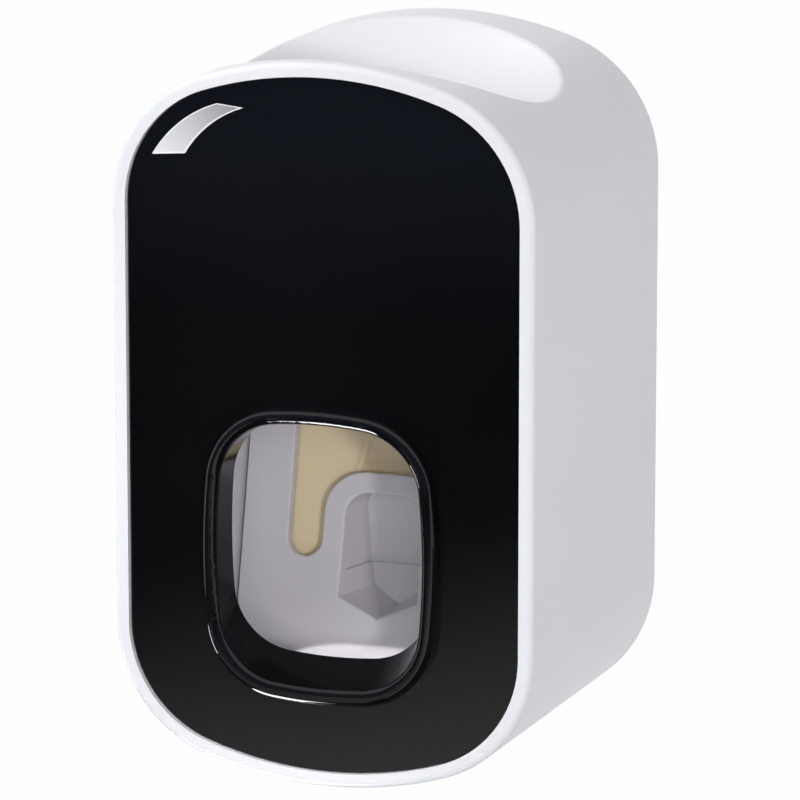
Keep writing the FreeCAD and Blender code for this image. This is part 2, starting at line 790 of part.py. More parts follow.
def tangent_arc(start, corner, end):
    """The arc that leaves start towards corner and reaches end from it."""
    middle = (start + end) * 0.5
    half_chord = (end - start).Length / 2
    rise = (corner - middle).Length
    sagitta = half_chord * math.tan(math.atan2(rise, half_chord) / 2)
    return Part.Arc(start, middle + (corner - middle) * (sagitta / rise), end).toShape()


def spring_path():
    """Two tangent arcs for each half turn of the coil."""
    arcs = []
    for half in range(2 * spring_turns):
        first, last = half / 2, (half + 1) / 2
        start, end = spring_place(first), spring_place(last)
        leave, arrive = spring_heading(first), spring_heading(last)
        chord = end - start
        square = 2 * (1 - leave.dot(arrive))
        linear = 2 * chord.dot(leave + arrive)
        reach = (-linear + math.sqrt(linear ** 2 + 4 * square * chord.dot(chord))) / (2 * square)
        corner_in = start + leave * reach
        corner_out = end - arrive * reach
        join = (corner_in + corner_out) * 0.5
        arcs += [tangent_arc(start, corner_in, join), tangent_arc(join, corner_out, end)]
    return Part.Wire(arcs)


def return_spring():
    path = spring_path()
    start = spring_place(0)
    section = Part.Wire(Part.makeCircle(spring_wire_radius, start, spring_heading(0)))
    pitch = (spring_place(spring_turns).y - start.y) / spring_turns
    print("spring: gap between turns %.2f mm" % (pitch - 2 * spring_wire_radius))
    return path.makePipeShell([section], True, False)


def pump_head():
    lid = block((-chamber_outer, chamber_outer), (chamber_front, chamber_back), (chamber_top, lid_top))
    lugs = [rod(side * ear_x, depth, chamber_top, ear_radius, lid_thickness, UP)
            for side in SIDES for depth in ear_depths]
    channel_front = nozzle_depth - nozzle_bore - duct_bore_margin
    channel_ends = (channel_front, spigot_depth + spigot_bore + duct_bore_margin)
    duct_ends = (channel_ends[0] - duct_end_wall, channel_ends[1] + duct_end_wall)
    duct = block((-duct_half_width, duct_half_width), duct_ends, (chamber_top, duct_top))
    tower = rod(0, dish_depth, lid_top, tower_radius, tower_top - lid_top, UP)
    spigot = rod(0, spigot_depth, chamber_top - spigot_length, spigot_radius, spigot_length, UP)
    nozzle_boss = rod(0, nozzle_depth, nozzle_boss_bottom, nozzle_boss_radius, nozzle_boss_length, UP)
    head = lid.fuse(lugs + [duct, tower, spigot, nozzle_boss])
    duct_bottom = duct_bore_top - duct_bore_height
    channel = block((-duct_bore_half_width, duct_bore_half_width), channel_ends, (duct_bottom, duct_bore_top))
    inlet_radius = inlet_stem_radius + inlet_stem_clearance
    inlet = rod(0, dish_depth, duct_bottom, inlet_radius, tower_bottom - duct_bottom, UP)
    cup = rod(0, dish_depth, tower_bottom, tower_bore, tower_top, UP)
    spigot_hole = rod(0, spigot_depth, duct_bottom, spigot_bore, duct_bottom, DOWN)
    nozzle_hole = rod(0, nozzle_depth, duct_bottom, nozzle_bore, duct_bottom, DOWN)
    screw_hole = head_screw_radius + head_screw_hole_clearance
    screw_reach = lid_thickness + 2 * overrun
    screw_holes = [rod(side * ear_x, depth, chamber_top - overrun, screw_hole, screw_reach, UP)
                   for side in SIDES for depth in ear_depths]
    return head.cut([channel, inlet, cup, spigot_hole, nozzle_hole] + screw_holes)


def port_gasket():
    return ring(0, dish_depth, tower_top, tower_radius, tower_radius - gasket_width, gasket_thickness)


def tube_sleeve():
    return turned(dish_depth, [
        (sleeve_outlet, sleeve_bottom), (sleeve_radius, sleeve_bottom), (sleeve_radius, flange_bottom),
        (flange_radius, flange_bottom), (flange_radius, flange_top), (sleeve_mouth, flange_top),
        (sleeve_bore, flange_top - sleeve_mouth_depth), (sleeve_bore, sleeve_bottom + sleeve_floor),
        (sleeve_outlet, sleeve_bottom + sleeve_floor)])


def inlet_valve():
    flange_reach = tower_bore - inlet_flange_clearance
    stem_bottom = tower_bottom - inlet_stem_length
    valve = turned(dish_depth, [
        (0, stem_bottom), (inlet_stem_radius, stem_bottom), (inlet_stem_radius, tower_bottom),
        (flange_reach, tower_bottom), (flange_reach, sleeve_bottom), (inlet_stem_bore, sleeve_bottom),
        (inlet_stem_bore, tower_bottom - inlet_flange_thickness), (0, tower_bottom - inlet_flange_thickness)])
    slit_depths = (dish_depth - valve_slit / 2, dish_depth + valve_slit / 2)
    slit = block((-inlet_stem_bore, inlet_stem_bore), slit_depths, (stem_bottom - overrun, tower_bottom))
    return valve.cut(slit)


def outlet_valve():
    disc = rod(0, nozzle_depth, nozzle_seat, nozzle_boss_radius, outlet_valve_thickness, UP)
    heights = (nozzle_seat - overrun, nozzle_boss_bottom + overrun)
    across = block((-nozzle_mouth, nozzle_mouth),
                   (nozzle_depth - valve_slit / 2, nozzle_depth + valve_slit / 2), heights)
    along = block((-valve_slit / 2, valve_slit / 2),
                  (nozzle_depth - nozzle_mouth, nozzle_depth + nozzle_mouth), heights)
    return disc.cut([across, along])


def outlet_nozzle():
    bore = nozzle_boss_radius + running_clearance
    outer = bore + nozzle_wall
    tip = nozzle_mouth + nozzle_wall
    bottom = nozzle_seat - nozzle_floor
    return turned(nozzle_depth, [
        (nozzle_mouth, bottom), (tip, bottom), (outer, nozzle_seat), (outer, chamber_top),
        (bore, chamber_top), (bore, nozzle_seat), (nozzle_mouth, nozzle_seat)])


def head_screws():
    screws = []
    for side in SIDES:
        for depth in ear_depths:
            shank = rod(side * ear_x, depth, lid_top, head_screw_radius, head_screw_length, DOWN)
            head = rod(side * ear_x, depth, lid_top, head_screw_head_radius, head_screw_head_height, UP)
            screws.append(shank.fuse(head))
    return Part.makeCompound(screws)


def chamber_screws():
    seat = casing_depth - chamber_screw_head_height - chamber_screw_sink
    tip = chamber_rear + chamber_screw_tip_wall
    screws = []
    for x, height in mirrored_places(chamber_screw_x, chamber_screw_heights):
        shank = rod(x, tip, height, chamber_screw_radius, seat - tip, BACK)
        head = rod(x, seat, height, chamber_screw_head_radius, chamber_screw_head_height, BACK)
        screws.append(shank.fuse(head))
    return Part.makeCompound(screws)


def wall_plate():
    heights = (mount_height - plate_half_height, mount_height + plate_half_height)
    plate = rounded_plate(plate_half_width, heights, plate_corner_radius, plate_front, plate_thickness)
    shank_length = plate_front - stud_head_back
    studs = []
    for side in SIDES:
        x = side * stud_x
        studs.append(rod(x, stud_head_front, mount_height, stud_head_radius, stud_head_thickness, BACK))
        studs.append(rod(x, stud_head_back, mount_height, stud_radius, shank_length, BACK))
    return plate.fuse(studs)


def adhesive_pad():
    return rounded_plate(pad_half_width, (mount_height - pad_half_height, mount_height + pad_half_height),
                         pad_corner_radius, casing_depth, pad_thickness)


PIECES = (outer_casing, front_panel, corner_accent, brush_chamber, swing_pusher, hinge_pin, pin_clips,
          pump_bladder, bladder_clip, return_spring, pump_head, port_gasket, tube_sleeve, inlet_valve,
          outlet_valve, outlet_nozzle, head_screws, chamber_screws, wall_plate, adhesive_pad)

os.makedirs("parts", exist_ok=True)
for piece in PIECES:
    shape = piece()
    solids = shape.Solids
    name = piece.__name__
    print("%s: %d solid(s), %.0f mm3, valid %s" % (name, len(solids), shape.Volume, shape.isValid()))
    result = solids[0] if len(solids) == 1 else Part.makeCompound(solids)
    result.exportStep("parts/%s.step" % name)
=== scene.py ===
# %% [markdown]
# # A wall-hung toothpaste dispenser
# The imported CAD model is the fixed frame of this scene: it is loaded first and never moved. Every
# later cell only adds what the eye sees: the camera, the light, the finishes, and the pieces whose
# real surface is softer or finer than a CAD solid.

# %% Load the frame
import json
import math

import bmesh
import bpy
import numpy as np
from mathutils import Matrix, Vector


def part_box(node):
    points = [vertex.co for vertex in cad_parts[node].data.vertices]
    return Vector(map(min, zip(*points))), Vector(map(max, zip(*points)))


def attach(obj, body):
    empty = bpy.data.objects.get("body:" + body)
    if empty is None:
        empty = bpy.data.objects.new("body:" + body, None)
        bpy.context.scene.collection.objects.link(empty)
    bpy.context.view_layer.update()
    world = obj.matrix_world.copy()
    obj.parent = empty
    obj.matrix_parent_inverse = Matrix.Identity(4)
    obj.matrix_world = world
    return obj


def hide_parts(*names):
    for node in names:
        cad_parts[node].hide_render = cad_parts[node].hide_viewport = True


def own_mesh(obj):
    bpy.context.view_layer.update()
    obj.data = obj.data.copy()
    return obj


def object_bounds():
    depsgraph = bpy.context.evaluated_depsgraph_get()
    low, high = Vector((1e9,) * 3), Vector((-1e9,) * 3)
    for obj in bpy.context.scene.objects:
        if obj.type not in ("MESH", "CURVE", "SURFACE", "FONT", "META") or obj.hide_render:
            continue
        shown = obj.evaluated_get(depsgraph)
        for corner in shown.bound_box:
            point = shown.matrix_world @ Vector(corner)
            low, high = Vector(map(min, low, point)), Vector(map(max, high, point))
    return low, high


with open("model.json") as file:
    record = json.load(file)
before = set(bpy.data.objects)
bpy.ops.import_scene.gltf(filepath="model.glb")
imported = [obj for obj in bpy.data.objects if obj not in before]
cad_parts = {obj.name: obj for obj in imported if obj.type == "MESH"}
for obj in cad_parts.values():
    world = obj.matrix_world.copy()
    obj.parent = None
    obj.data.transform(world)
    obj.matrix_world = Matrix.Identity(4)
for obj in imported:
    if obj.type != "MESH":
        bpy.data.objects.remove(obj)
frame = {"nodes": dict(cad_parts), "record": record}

MM = 0.001
cad_low, cad_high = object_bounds()
print("CAD box in mm:", [round((b - a) / MM, 1) for a, b in zip(cad_low, cad_high)])

# %% [markdown]
# ## The camera
# A product photographer stands well back with a long lens, so that upright edges stay nearly
# parallel. The place and lens below come from solving the picture's perspective on the casing's
# corners. The camera could be aimed with a constraint, but a matrix written from azimuth and
# elevation says exactly what was measured.

# %% Camera
CAMERA_PLACE = Vector((0.29801, -0.78493, 0.15859))
CAMERA_AZIMUTH = math.radians(21.376)
CAMERA_ELEVATION = math.radians(12.590)
LENS_MM = 270.8
SENSOR_MM = 36.0


def new_object(name, data):
    """An object in the scene that holds a camera, a lamp or a mesh."""
    thing = bpy.data.objects.new(name, data)
    bpy.context.scene.collection.objects.link(thing)
    return thing


backward = Vector((
    math.sin(CAMERA_AZIMUTH) * math.cos(CAMERA_ELEVATION),
    -math.cos(CAMERA_AZIMUTH) * math.cos(CAMERA_ELEVATION),
    math.sin(CAMERA_ELEVATION),
))
rightward = Vector((math.cos(CAMERA_AZIMUTH), math.sin(CAMERA_AZIMUTH), 0.0))
upward = backward.cross(rightward)
facing = Matrix((rightward, upward, backward)).transposed()

camera_data = bpy.data.cameras.new("studio_camera")
camera_data.lens = LENS_MM
camera_data.sensor_width = SENSOR_MM
camera = new_object("studio_camera", camera_data)
camera.matrix_world = Matrix.LocRotScale(CAMERA_PLACE, facing, None)
bpy.context.scene.camera = camera
print("camera is", round(CAMERA_PLACE.length, 3), "m from the wall pad")

# %% [markdown]
# ## Colours and nodes
# Colours are written as the sRGB hex values that a paint chart gives, and one function turns them
# into the linear light that shaders count in. A second small function adds any node: its settings
# are keywords, and its inputs are either plain values or the outputs of other nodes. Nodes could
# also be wired by hand in the shader editor, but a script keeps every value in sight.


# %% Helpers for colours and nodes
def linear(hex_colour):
    """sRGB hex to linear RGBA: c/12.92 below 0.04045, otherwise ((c + 0.055)/1.055)^2.4."""
    codes = np.array([int(hex_colour[i:i + 2], 16) for i in (1, 3, 5)]) / 255.0
    light = np.where(codes <= 0.04045, codes / 12.92, ((codes + 0.055) / 1.055) ** 2.4)
    return (*light.tolist(), 1.0)


def add(tree, kind, inputs=None, **settings):
    """Adds one node, sets its properties, and fills its inputs with values or with links."""
    node = tree.nodes.new(kind)
    for name, value in settings.items():
        setattr(node, name, value)
    for name, value in (inputs or {}).items():
        if isinstance(value, bpy.types.NodeSocket):
            tree.links.new(value, node.inputs[name])
        else:
            node.inputs[name].default_value = value
    return node


def blank_material(name):
    """A material with an empty node tree."""
    material = bpy.data.materials.new(name)
    material.use_nodes = True
    material.node_tree.nodes.clear()
    print("material", name)
    return material


print("mid grey #808080 is", round(linear("#808080")[0], 3), "in linear light")

# %% [markdown]
# ## The world's light
# The photographed object floats on pure white. A plain white world would give that, but so much
# light from all round would wash out the form. Here the world is white only to the camera, in
# mirrors and through glass, and gives matt surfaces a soft, slightly blue grey-white. The Light
# Path node tells these rays apart.

# %% World light
WORLD_COLOUR = "#f1f4fb"
WORLD_LEVEL = 0.37
WHITE = "#ffffff"


def picture_ray(tree):
    """1 for a ray that shows the background (camera, mirror, glass), 0 for one that only lights."""
    ray = add(tree, "ShaderNodeLightPath").outputs
    direct = add(tree, "ShaderNodeMath", {0: ray["Is Camera Ray"], 1: ray["Is Glossy Ray"]},
                 operation="MAXIMUM")
    either = add(tree, "ShaderNodeMath", {0: direct.outputs[0], 1: ray["Is Transmission Ray"]},
                 operation="MAXIMUM")
    return either.outputs[0]


world = bpy.data.worlds.new("white_studio")
world.use_nodes = True
sky = world.node_tree
sky.nodes.clear()
light = add(sky, "ShaderNodeBackground", {"Color": linear(WORLD_COLOUR), "Strength": WORLD_LEVEL})
white = add(sky, "ShaderNodeBackground", {"Color": linear(WHITE), "Strength": 1.0})
shown = add(sky, "ShaderNodeMixShader", {
    0: picture_ray(sky), 1: light.outputs[0], 2: white.outputs[0]})
add(sky, "ShaderNodeOutputWorld", {"Surface": shown.outputs[0]})
bpy.context.scene.world = world
bpy.context.scene.view_settings.view_transform = "Standard"
print("the world lights matt surfaces at", WORLD_LEVEL)

# %% [markdown]
# ## The floor
# The dispenser hangs on a wall, so the floor lies far below it: pale paper that throws some light
# back up and takes the shadow. A backdrop could do the same, but it would stand in the way of views
# from behind. To the camera the paper glows as white as the world, but for a small share that keeps
# the shadow.

# %% Floor
FLOOR_DROP = 0.30
FLOOR_SPAN = (-3.0, 3.0)
FLOOR_GLOW_SHARE = 0.985
floor_z = cad_low.z - FLOOR_DROP


def flat_card(name, corners, material):
    """One four-cornered card from its corner points."""
    mesh = bpy.data.meshes.new(name)
    mesh.from_pydata(corners, [], [(0, 1, 2, 3)])
    mesh.materials.append(material)
    card = new_object(name, mesh)
    return card


def level_corners(x, y, z):
    """The corners of a level rectangle that fills the spans x and y at height z."""
    return [(x[0], y[0], z), (x[1], y[0], z), (x[1], y[1], z), (x[0], y[1], z)]


# Matt paper, which shows only soft shading.
paper = blank_material("white_studio_paper")
tree = paper.node_tree
matt = add(tree, "ShaderNodeBsdfDiffuse", {"Color": linear("#f0f1f3")})
glow = add(tree, "ShaderNodeEmission", {"Color": linear(WHITE), "Strength": 1.0})
share = add(tree, "ShaderNodeMath", {0: picture_ray(tree), 1: FLOOR_GLOW_SHARE},
            operation="MULTIPLY")
shown = add(tree, "ShaderNodeMixShader", {
    0: share.outputs[0], 1: matt.outputs[0], 2: glow.outputs[0]})
add(tree, "ShaderNodeOutputMaterial", {"Surface": shown.outputs[0]})
flat_card("floor", level_corners(FLOOR_SPAN, FLOOR_SPAN, floor_z), paper)
print("floor lies", FLOOR_DROP / MM, "mm below the casing")

# %% [markdown]
# ## Cards for the panel to mirror
# A gloss black front shows little but what stands before it, and a white room would turn it grey. A
# photographer puts dark cards where it looks, and so does this scene, with cards that only mirrors
# see. The front card is not quite black: a grey glow low down, whose upper edge falls away to the
# left, and a faint blue one higher up give the panel its sheen. These tones could be painted on the
# panel, but paint would not move with the eye as a reflection does.

# %% Dark card in front
CARD_X = (-1.10, 1.60)
CARD_Y = -0.60
CARD_TOP = 0.45
LOW_GLOW_DROP = (0.125, 0.205)
LOW_GLOW_LEVEL = 0.95
LOW_GLOW_TILT = 0.25
LOW_GLOW_END_X = -0.12
HIGH_GLOW_Z = (-0.135, -0.085)
HIGH_GLOW_LEVEL = 0.19
HIGH_GLOW_COLOUR = "#a4cfff"


def mirror_card(name, corners, material):
    """A card that only mirrors see: it is not in the picture and neither lights nor shades."""
    card = flat_card(name, corners, material)
    card.visible_camera = False
    card.visible_diffuse = False
    card.visible_shadow = False
    print(name, "is seen by mirrors alone")


# A black card with two soft glows on it, as from light spilling over its ends.
card_paint = blank_material("dark_card")
tree = card_paint.node_tree
where = add(tree, "ShaderNodeTexCoord").outputs["Object"]
place = add(tree, "ShaderNodeSeparateXYZ", {0: where}).outputs
left = add(tree, "ShaderNodeMath", {0: place["X"], 1: LOW_GLOW_END_X}, operation="MINIMUM")
fall = add(tree, "ShaderNodeMath", {0: left.outputs[0], 1: LOW_GLOW_TILT}, operation="MULTIPLY")
drop = add(tree, "ShaderNodeMath", {0: fall.outputs[0], 1: place["Z"]}, operation="SUBTRACT")
low = add(tree, "ShaderNodeMapRange", {
    "Value": drop.outputs[0], "From Min": LOW_GLOW_DROP[0], "From Max": LOW_GLOW_DROP[1],
    "To Max": LOW_GLOW_LEVEL}, interpolation_type="SMOOTHSTEP")
high = add(tree, "ShaderNodeMapRange", {
    "Value": place["Z"], "From Min": HIGH_GLOW_Z[0], "From Max": HIGH_GLOW_Z[1],
    "To Max": HIGH_GLOW_LEVEL}, interpolation_type="SMOOTHSTEP")
low_light = add(tree, "ShaderNodeEmission", {"Color": linear(WHITE), "Strength": low.outputs[0]})
high_light = add(tree, "ShaderNodeEmission", {
    "Color": linear(HIGH_GLOW_COLOUR), "Strength": high.outputs[0]})
both = add(tree, "ShaderNodeAddShader", {0: low_light.outputs[0], 1: high_light.outputs[0]})
add(tree, "ShaderNodeOutputMaterial", {"Surface": both.outputs[0]})
mirror_card("front_dark_card", [
    (CARD_X[0], CARD_Y, floor_z), (CARD_X[1], CARD_Y, floor_z),
    (CARD_X[1], CARD_Y, CARD_TOP), (CARD_X[0], CARD_Y, CARD_TOP)], card_paint)

# %% [markdown]
# The panel also looks down at the floor, so black felt is laid there. The raised lip of the window
# has two thin glints, a bright one below and a faint one at the left. Both mirror something bright
# that lies low on the left. A lamp there would light the casing too, so two glowing cards for
# mirrors alone lie on the felt.

# %% Felt and glint cards
CARD_STEP = 0.004
FELT_BACK = 0.35
GLINT_Y = (-0.25, 0.03)
GLINT_CARDS = (
    ("near_glint", (-0.232, -0.129), 24.0),
    ("far_glint", (-0.860, -0.520), 10.0),
)


def glowing_paper(name, level):
    """A white paper that glows evenly. At level 0 it is black to a mirror, as felt is."""
    material = blank_material(name)
    glow = add(material.node_tree, "ShaderNodeEmission", {
        "Color": linear(WHITE), "Strength": level})
    add(material.node_tree, "ShaderNodeOutputMaterial", {"Surface": glow.outputs[0]})
    return material


felt_z = floor_z + CARD_STEP
mirror_card("low_dark_card", level_corners(CARD_X, (CARD_Y, FELT_BACK), felt_z),
            glowing_paper("black_felt", 0.0))
for name, span, level in GLINT_CARDS:
    mirror_card(name + "_card", level_corners(span, GLINT_Y, felt_z + CARD_STEP),
                glowing_paper(name + "_paper", level))

# %% [markdown]
# ## Lamps
# A soft box is a lit sheet of cloth that gives broad light with soft shadows. A large one stands
# high on the left as the key, a smaller one high in front, and two near the camera open up the
# inside of the window. Sun or point lamps would be simpler, but they draw hard shadows. No mirror
# sees the lamps, so that they leave no square patch on the panel.

# %% Soft boxes
OBJECT_MIDDLE = (0.0, -0.026, -0.022)
SOFT_BOXES = (
    ("key_box", (-0.90, -0.25, 0.65), 0.6, 6.4),
    ("high_box", (-0.15, -0.62, 0.98), 0.25, 1.6),
    ("front_box", (0.64, -1.01, 0.15), 0.08, 3.5),
    ("fill_box", (0.36, -1.18, 0.22), 0.4, 2.6),
)


def hang_lamp(lamp_data, place, target):
    """Hangs a lamp at place with its beam, which leaves along its own -Z, turned to target."""
    lamp = new_object(lamp_data.name, lamp_data)
    beam = Vector(target) - Vector(place)
    aim = beam.to_track_quat("-Z", "Y").to_matrix()
    lamp.matrix_world = Matrix.LocRotScale(Vector(place), aim, None)
    lamp.visible_glossy = False
    print(lamp.name, "hangs", round(beam.length, 2), "m from what it lights")


for name, place, size, watts in SOFT_BOXES:
    box_data = bpy.data.lights.new(name, "AREA")
    box_data.shape = "SQUARE"
    box_data.size = size
    box_data.energy = watts
    hang_lamp(box_data, place, OBJECT_MIDDLE)

# %% [markdown]
# The foot of the pusher turns forward into a scoop, and its edge is the brightest thing in the
# window. A box that reached it would light all around it too, so a spot lamp with a very narrow
# cone, as from a photographer's snoot, is aimed through the window at that edge alone.

# %% A snooted lamp for the pusher's scoop
SNOOT_PLACE = (-0.085, -0.598, 0.948)
SNOOT_TARGET = (-0.004, -0.0362, -0.058)
SNOOT_CONE = math.radians(1.6)
SNOOT_SOFT_EDGE = 0.6
SNOOT_RADIUS = 0.02
SNOOT_WATTS = 92.0

snoot_data = bpy.data.lights.new("scoop_snoot", "SPOT")
snoot_data.energy = SNOOT_WATTS
snoot_data.spot_size = SNOOT_CONE
snoot_data.spot_blend = SNOOT_SOFT_EDGE
snoot_data.shadow_soft_size = SNOOT_RADIUS
hang_lamp(snoot_data, SNOOT_PLACE, SNOOT_TARGET)

# %% [markdown]
# ## Moulded plastics
# Casing, chamber, pusher and pump head are injection-moulded. A plain shader in one colour would
# look like a computer's white. A real moulding drifts a little in colour, where the melt cooled at
# different rates, and its skin repeats the fine grain of the steel mould, which softens its
# highlights. Patterns read Object coordinates, because every piece has its place in its mesh: one
# millimetre of pattern is then one millimetre of the object, whatever piece it falls on.

# %% Moulded white and off-white plastics
MICRON = 1e-6
MELT_DRIFT_MM = 35.0
# The grain is about 0.05 mm on a real part. That is too fine for the render, so it is drawn wider.
MOULD_GRAIN_MM = 0.45
GLOSS_SPREAD = 0.05


def moulded_plastic(name, hex_colour, drift_hex, roughness, grain_um):
    """A moulded thermoplastic: noise drifts its colour, and finer noise is its gloss and grain."""
    material = blank_material(name)
    tree = material.node_tree
    where = add(tree, "ShaderNodeTexCoord").outputs["Object"]
    drift = add(tree, "ShaderNodeTexNoise", {
        "Vector": where, "Scale": 1 / (MELT_DRIFT_MM * MM), "Detail": 1.0})
    colour = add(tree, "ShaderNodeMix", {
        0: drift.outputs["Fac"], 6: linear(hex_colour), 7: linear(drift_hex)}, data_type="RGBA")
    grain = add(tree, "ShaderNodeTexNoise", {
        "Vector": where, "Scale": 1 / (MOULD_GRAIN_MM * MM), "Detail": 2.0})
    rough = add(tree, "ShaderNodeMapRange", {
        "Value": grain.outputs["Fac"],
        "To Min": roughness - GLOSS_SPREAD, "To Max": roughness + GLOSS_SPREAD})
    bump = add(tree, "ShaderNodeBump", {
        "Height": grain.outputs["Fac"], "Strength": 1.0, "Distance": grain_um * MICRON})
    shader = add(tree, "ShaderNodeBsdfPrincipled", {
        "Base Color": colour.outputs[2], "Roughness": rough.outputs[0], "IOR": 1.54,
        "Normal": bump.outputs[0]})
    add(tree, "ShaderNodeOutputMaterial", {"Surface": shader.outputs[0]})
    return material


# ABS gives a satin white with a soft highlight: the casing and the wall plate.
casing_abs = moulded_plastic("moulded_white_abs", "#eff0f2", "#ebecef", 0.34, 3.0)
# Polypropylene is waxier than ABS: the chamber. Its white is a shade greyer, partly its own tone
# and partly painted shade for its place inside the window.
chamber_pp = moulded_plastic("moulded_white_polypropylene", "#e4e3e7", "#dedde2", 0.40, 3.0)
# The pusher's white is set darker and greyer than the casing's, with a slight violet tint: painted
# shade for its place deep in the window. A smoother mould gives it a brighter highlight.
pusher_pp_painted_shade = moulded_plastic("pusher_polypropylene_painted_shade", "#dcd8dd", "#d8d4d9", 0.30, 2.0)
# The pump head is unpigmented, so it is warmer and duller.
head_pp = moulded_plastic("natural_polypropylene", "#e6e5e3", "#dfdedb", 0.45, 3.0)

# %% [markdown]
# ## Piano black
# The black panel is ABS from a mirror-polished mould, which gives the deep gloss of a piano lid. A
# clear coat over a dull black could look alike, but this plastic has no coat. On a black surface
# the eye sees almost only reflections, so what matters is a low roughness, the faint ripple that
# every polished moulding has, and hairline wiping marks that soften the gloss in places.

# %% Piano-black ABS
RIPPLE_MM = 9.0
RIPPLE_UM = 2.5
# Real hairlines are some hundredths of a millimetre wide. They are drawn wider so that they show.
WIPE_MARK_MM = 0.6
WIPE_SLANT = math.radians(35)
WIPE_STRETCH = 0.03

panel_abs = blank_material("piano_black_abs")
tree = panel_abs.node_tree
where = add(tree, "ShaderNodeTexCoord").outputs["Object"]
along_wipe = add(tree, "ShaderNodeMapping", {
    "Vector": where, "Rotation": (0.0, WIPE_SLANT, 0.0), "Scale": (1.0, 1.0, WIPE_STRETCH)})
marks = add(tree, "ShaderNodeTexNoise", {
    "Vector": along_wipe.outputs[0], "Scale": 1 / (WIPE_MARK_MM * MM), "Detail": 3.0})
rough = add(tree, "ShaderNodeMapRange", {
    "Value": marks.outputs["Fac"], "From Min": 0.35, "From Max": 0.75,
    "To Min": 0.045, "To Max": 0.10})
ripple = add(tree, "ShaderNodeTexNoise", {
    "Vector": where, "Scale": 1 / (RIPPLE_MM * MM), "Detail": 0.0})
bump = add(tree, "ShaderNodeBump", {
    "Height": ripple.outputs["Fac"], "Strength": 1.0, "Distance": RIPPLE_UM * MICRON})
depth_tone = add(tree, "ShaderNodeMix", {
    0: ripple.outputs["Fac"], 6: linear("#0b0b0d"), 7: linear("#0d0d0f")}, data_type="RGBA")
shader = add(tree, "ShaderNodeBsdfPrincipled", {
    "Base Color": depth_tone.outputs[2], "Roughness": rough.outputs[0], "IOR": 1.53,
    "Specular IOR Level": 0.35, "Normal": bump.outputs[0]})
add(tree, "ShaderNodeOutputMaterial", {"Surface": shader.outputs[0]})

# %% [markdown]
# ## Silicone rubber
# The bladder, the tube sleeve, the gasket and the valves are soft and slightly see-through: light
# goes in, scatters a millimetre or two and comes out warmer. Mixing in a translucent shader would
# be cheaper, but it lets light through and does not spread it. Subsurface scattering does both, and
# a fine powdery grain keeps the rubber from looking like hard plastic.

# %% Silicone rubbers
SILICONE_DRIFT_MM = 8.0
# The powder's grains are too fine for the render, so they are drawn half a millimetre wide.
SILICONE_GRAIN_MM = 0.5
SILICONE_GRAIN_UM = 4.0


def silicone_rubber(name, hex_colour, drift_hex, scatter_mm):
    """A moulded silicone: scattered light under a dull skin with a fine powdery grain."""
    material = blank_material(name)
    tree = material.node_tree
    where = add(tree, "ShaderNodeTexCoord").outputs["Object"]
    drift = add(tree, "ShaderNodeTexNoise", {
        "Vector": where, "Scale": 1 / (SILICONE_DRIFT_MM * MM), "Detail": 2.0})
    colour = add(tree, "ShaderNodeMix", {
        0: drift.outputs["Fac"], 6: linear(hex_colour), 7: linear(drift_hex)}, data_type="RGBA")
    grain = add(tree, "ShaderNodeTexNoise", {
        "Vector": where, "Scale": 1 / (SILICONE_GRAIN_MM * MM), "Detail": 3.0})
    rough = add(tree, "ShaderNodeMapRange", {
        "Value": grain.outputs["Fac"], "To Min": 0.44, "To Max": 0.58})
    bump = add(tree, "ShaderNodeBump", {
        "Height": grain.outputs["Fac"], "Strength": 1.0, "Distance": SILICONE_GRAIN_UM * MICRON})
    shader = add(tree, "ShaderNodeBsdfPrincipled", {
        "Base Color": colour.outputs[2], "Roughness": rough.outputs[0], "IOR": 1.41,
        "Subsurface Weight": 0.25, "Subsurface Radius": (1.0, 0.75, 0.45),
        "Subsurface Scale": scatter_mm * MM, "Normal": bump.outputs[0]})
    add(tree, "ShaderNodeOutputMaterial", {"Surface": shader.outputs[0]})
    return material


# Pigmented beige, which scatters light only a little way: the bladder and the tube sleeve.
beige_silicone = silicone_rubber("beige_silicone_rubber", "#f4e3c0", "#eedcb7", 1.2)
# Unpigmented and milky, so that light goes deeper: the gasket and the valves.
milky_silicone = silicone_rubber("milky_silicone_rubber", "#dededa", "#d4d4d0", 2.0)

# %% [markdown]
# ## Steel
# Pin, clips, screws and spring are made of drawn stainless steel wire. Drawing leaves fine lines
# along the wire, which an anisotropic shader could stand for. Stretched noise was chosen because it
# shows the lines themselves; it runs along X, the way the hinge pin lies.

# %% Drawn stainless steel
# Real drawing lines are about a tenth as wide, which is too fine for the render.
DRAWN_LINE_MM = 0.25
DRAWN_LINE_UM = 2.0
DRAWN_STRETCH = 0.04

# A bright grey metal whose highlights are drawn out a little by the lines.
steel = blank_material("drawn_stainless_steel")
tree = steel.node_tree
where = add(tree, "ShaderNodeTexCoord").outputs["Object"]
along_wire = add(tree, "ShaderNodeMapping", {"Vector": where, "Scale": (DRAWN_STRETCH, 1.0, 1.0)})
lines = add(tree, "ShaderNodeTexNoise", {
    "Vector": along_wire.outputs[0], "Scale": 1 / (DRAWN_LINE_MM * MM), "Detail": 2.0})
colour = add(tree, "ShaderNodeMix", {
    0: lines.outputs["Fac"], 6: linear("#cfd0d2"), 7: linear("#bfc0c3")}, data_type="RGBA")
rough = add(tree, "ShaderNodeMapRange", {
    "Value": lines.outputs["Fac"], "To Min": 0.22, "To Max": 0.36})
bump = add(tree, "ShaderNodeBump", {
    "Height": lines.outputs["Fac"], "Strength": 1.0, "Distance": DRAWN_LINE_UM * MICRON})
shader = add(tree, "ShaderNodeBsdfPrincipled", {
    "Base Color": colour.outputs[2], "Metallic": 1.0, "Roughness": rough.outputs[0],
    "Normal": bump.outputs[0]})
add(tree, "ShaderNodeOutputMaterial", {"Surface": shader.outputs[0]})

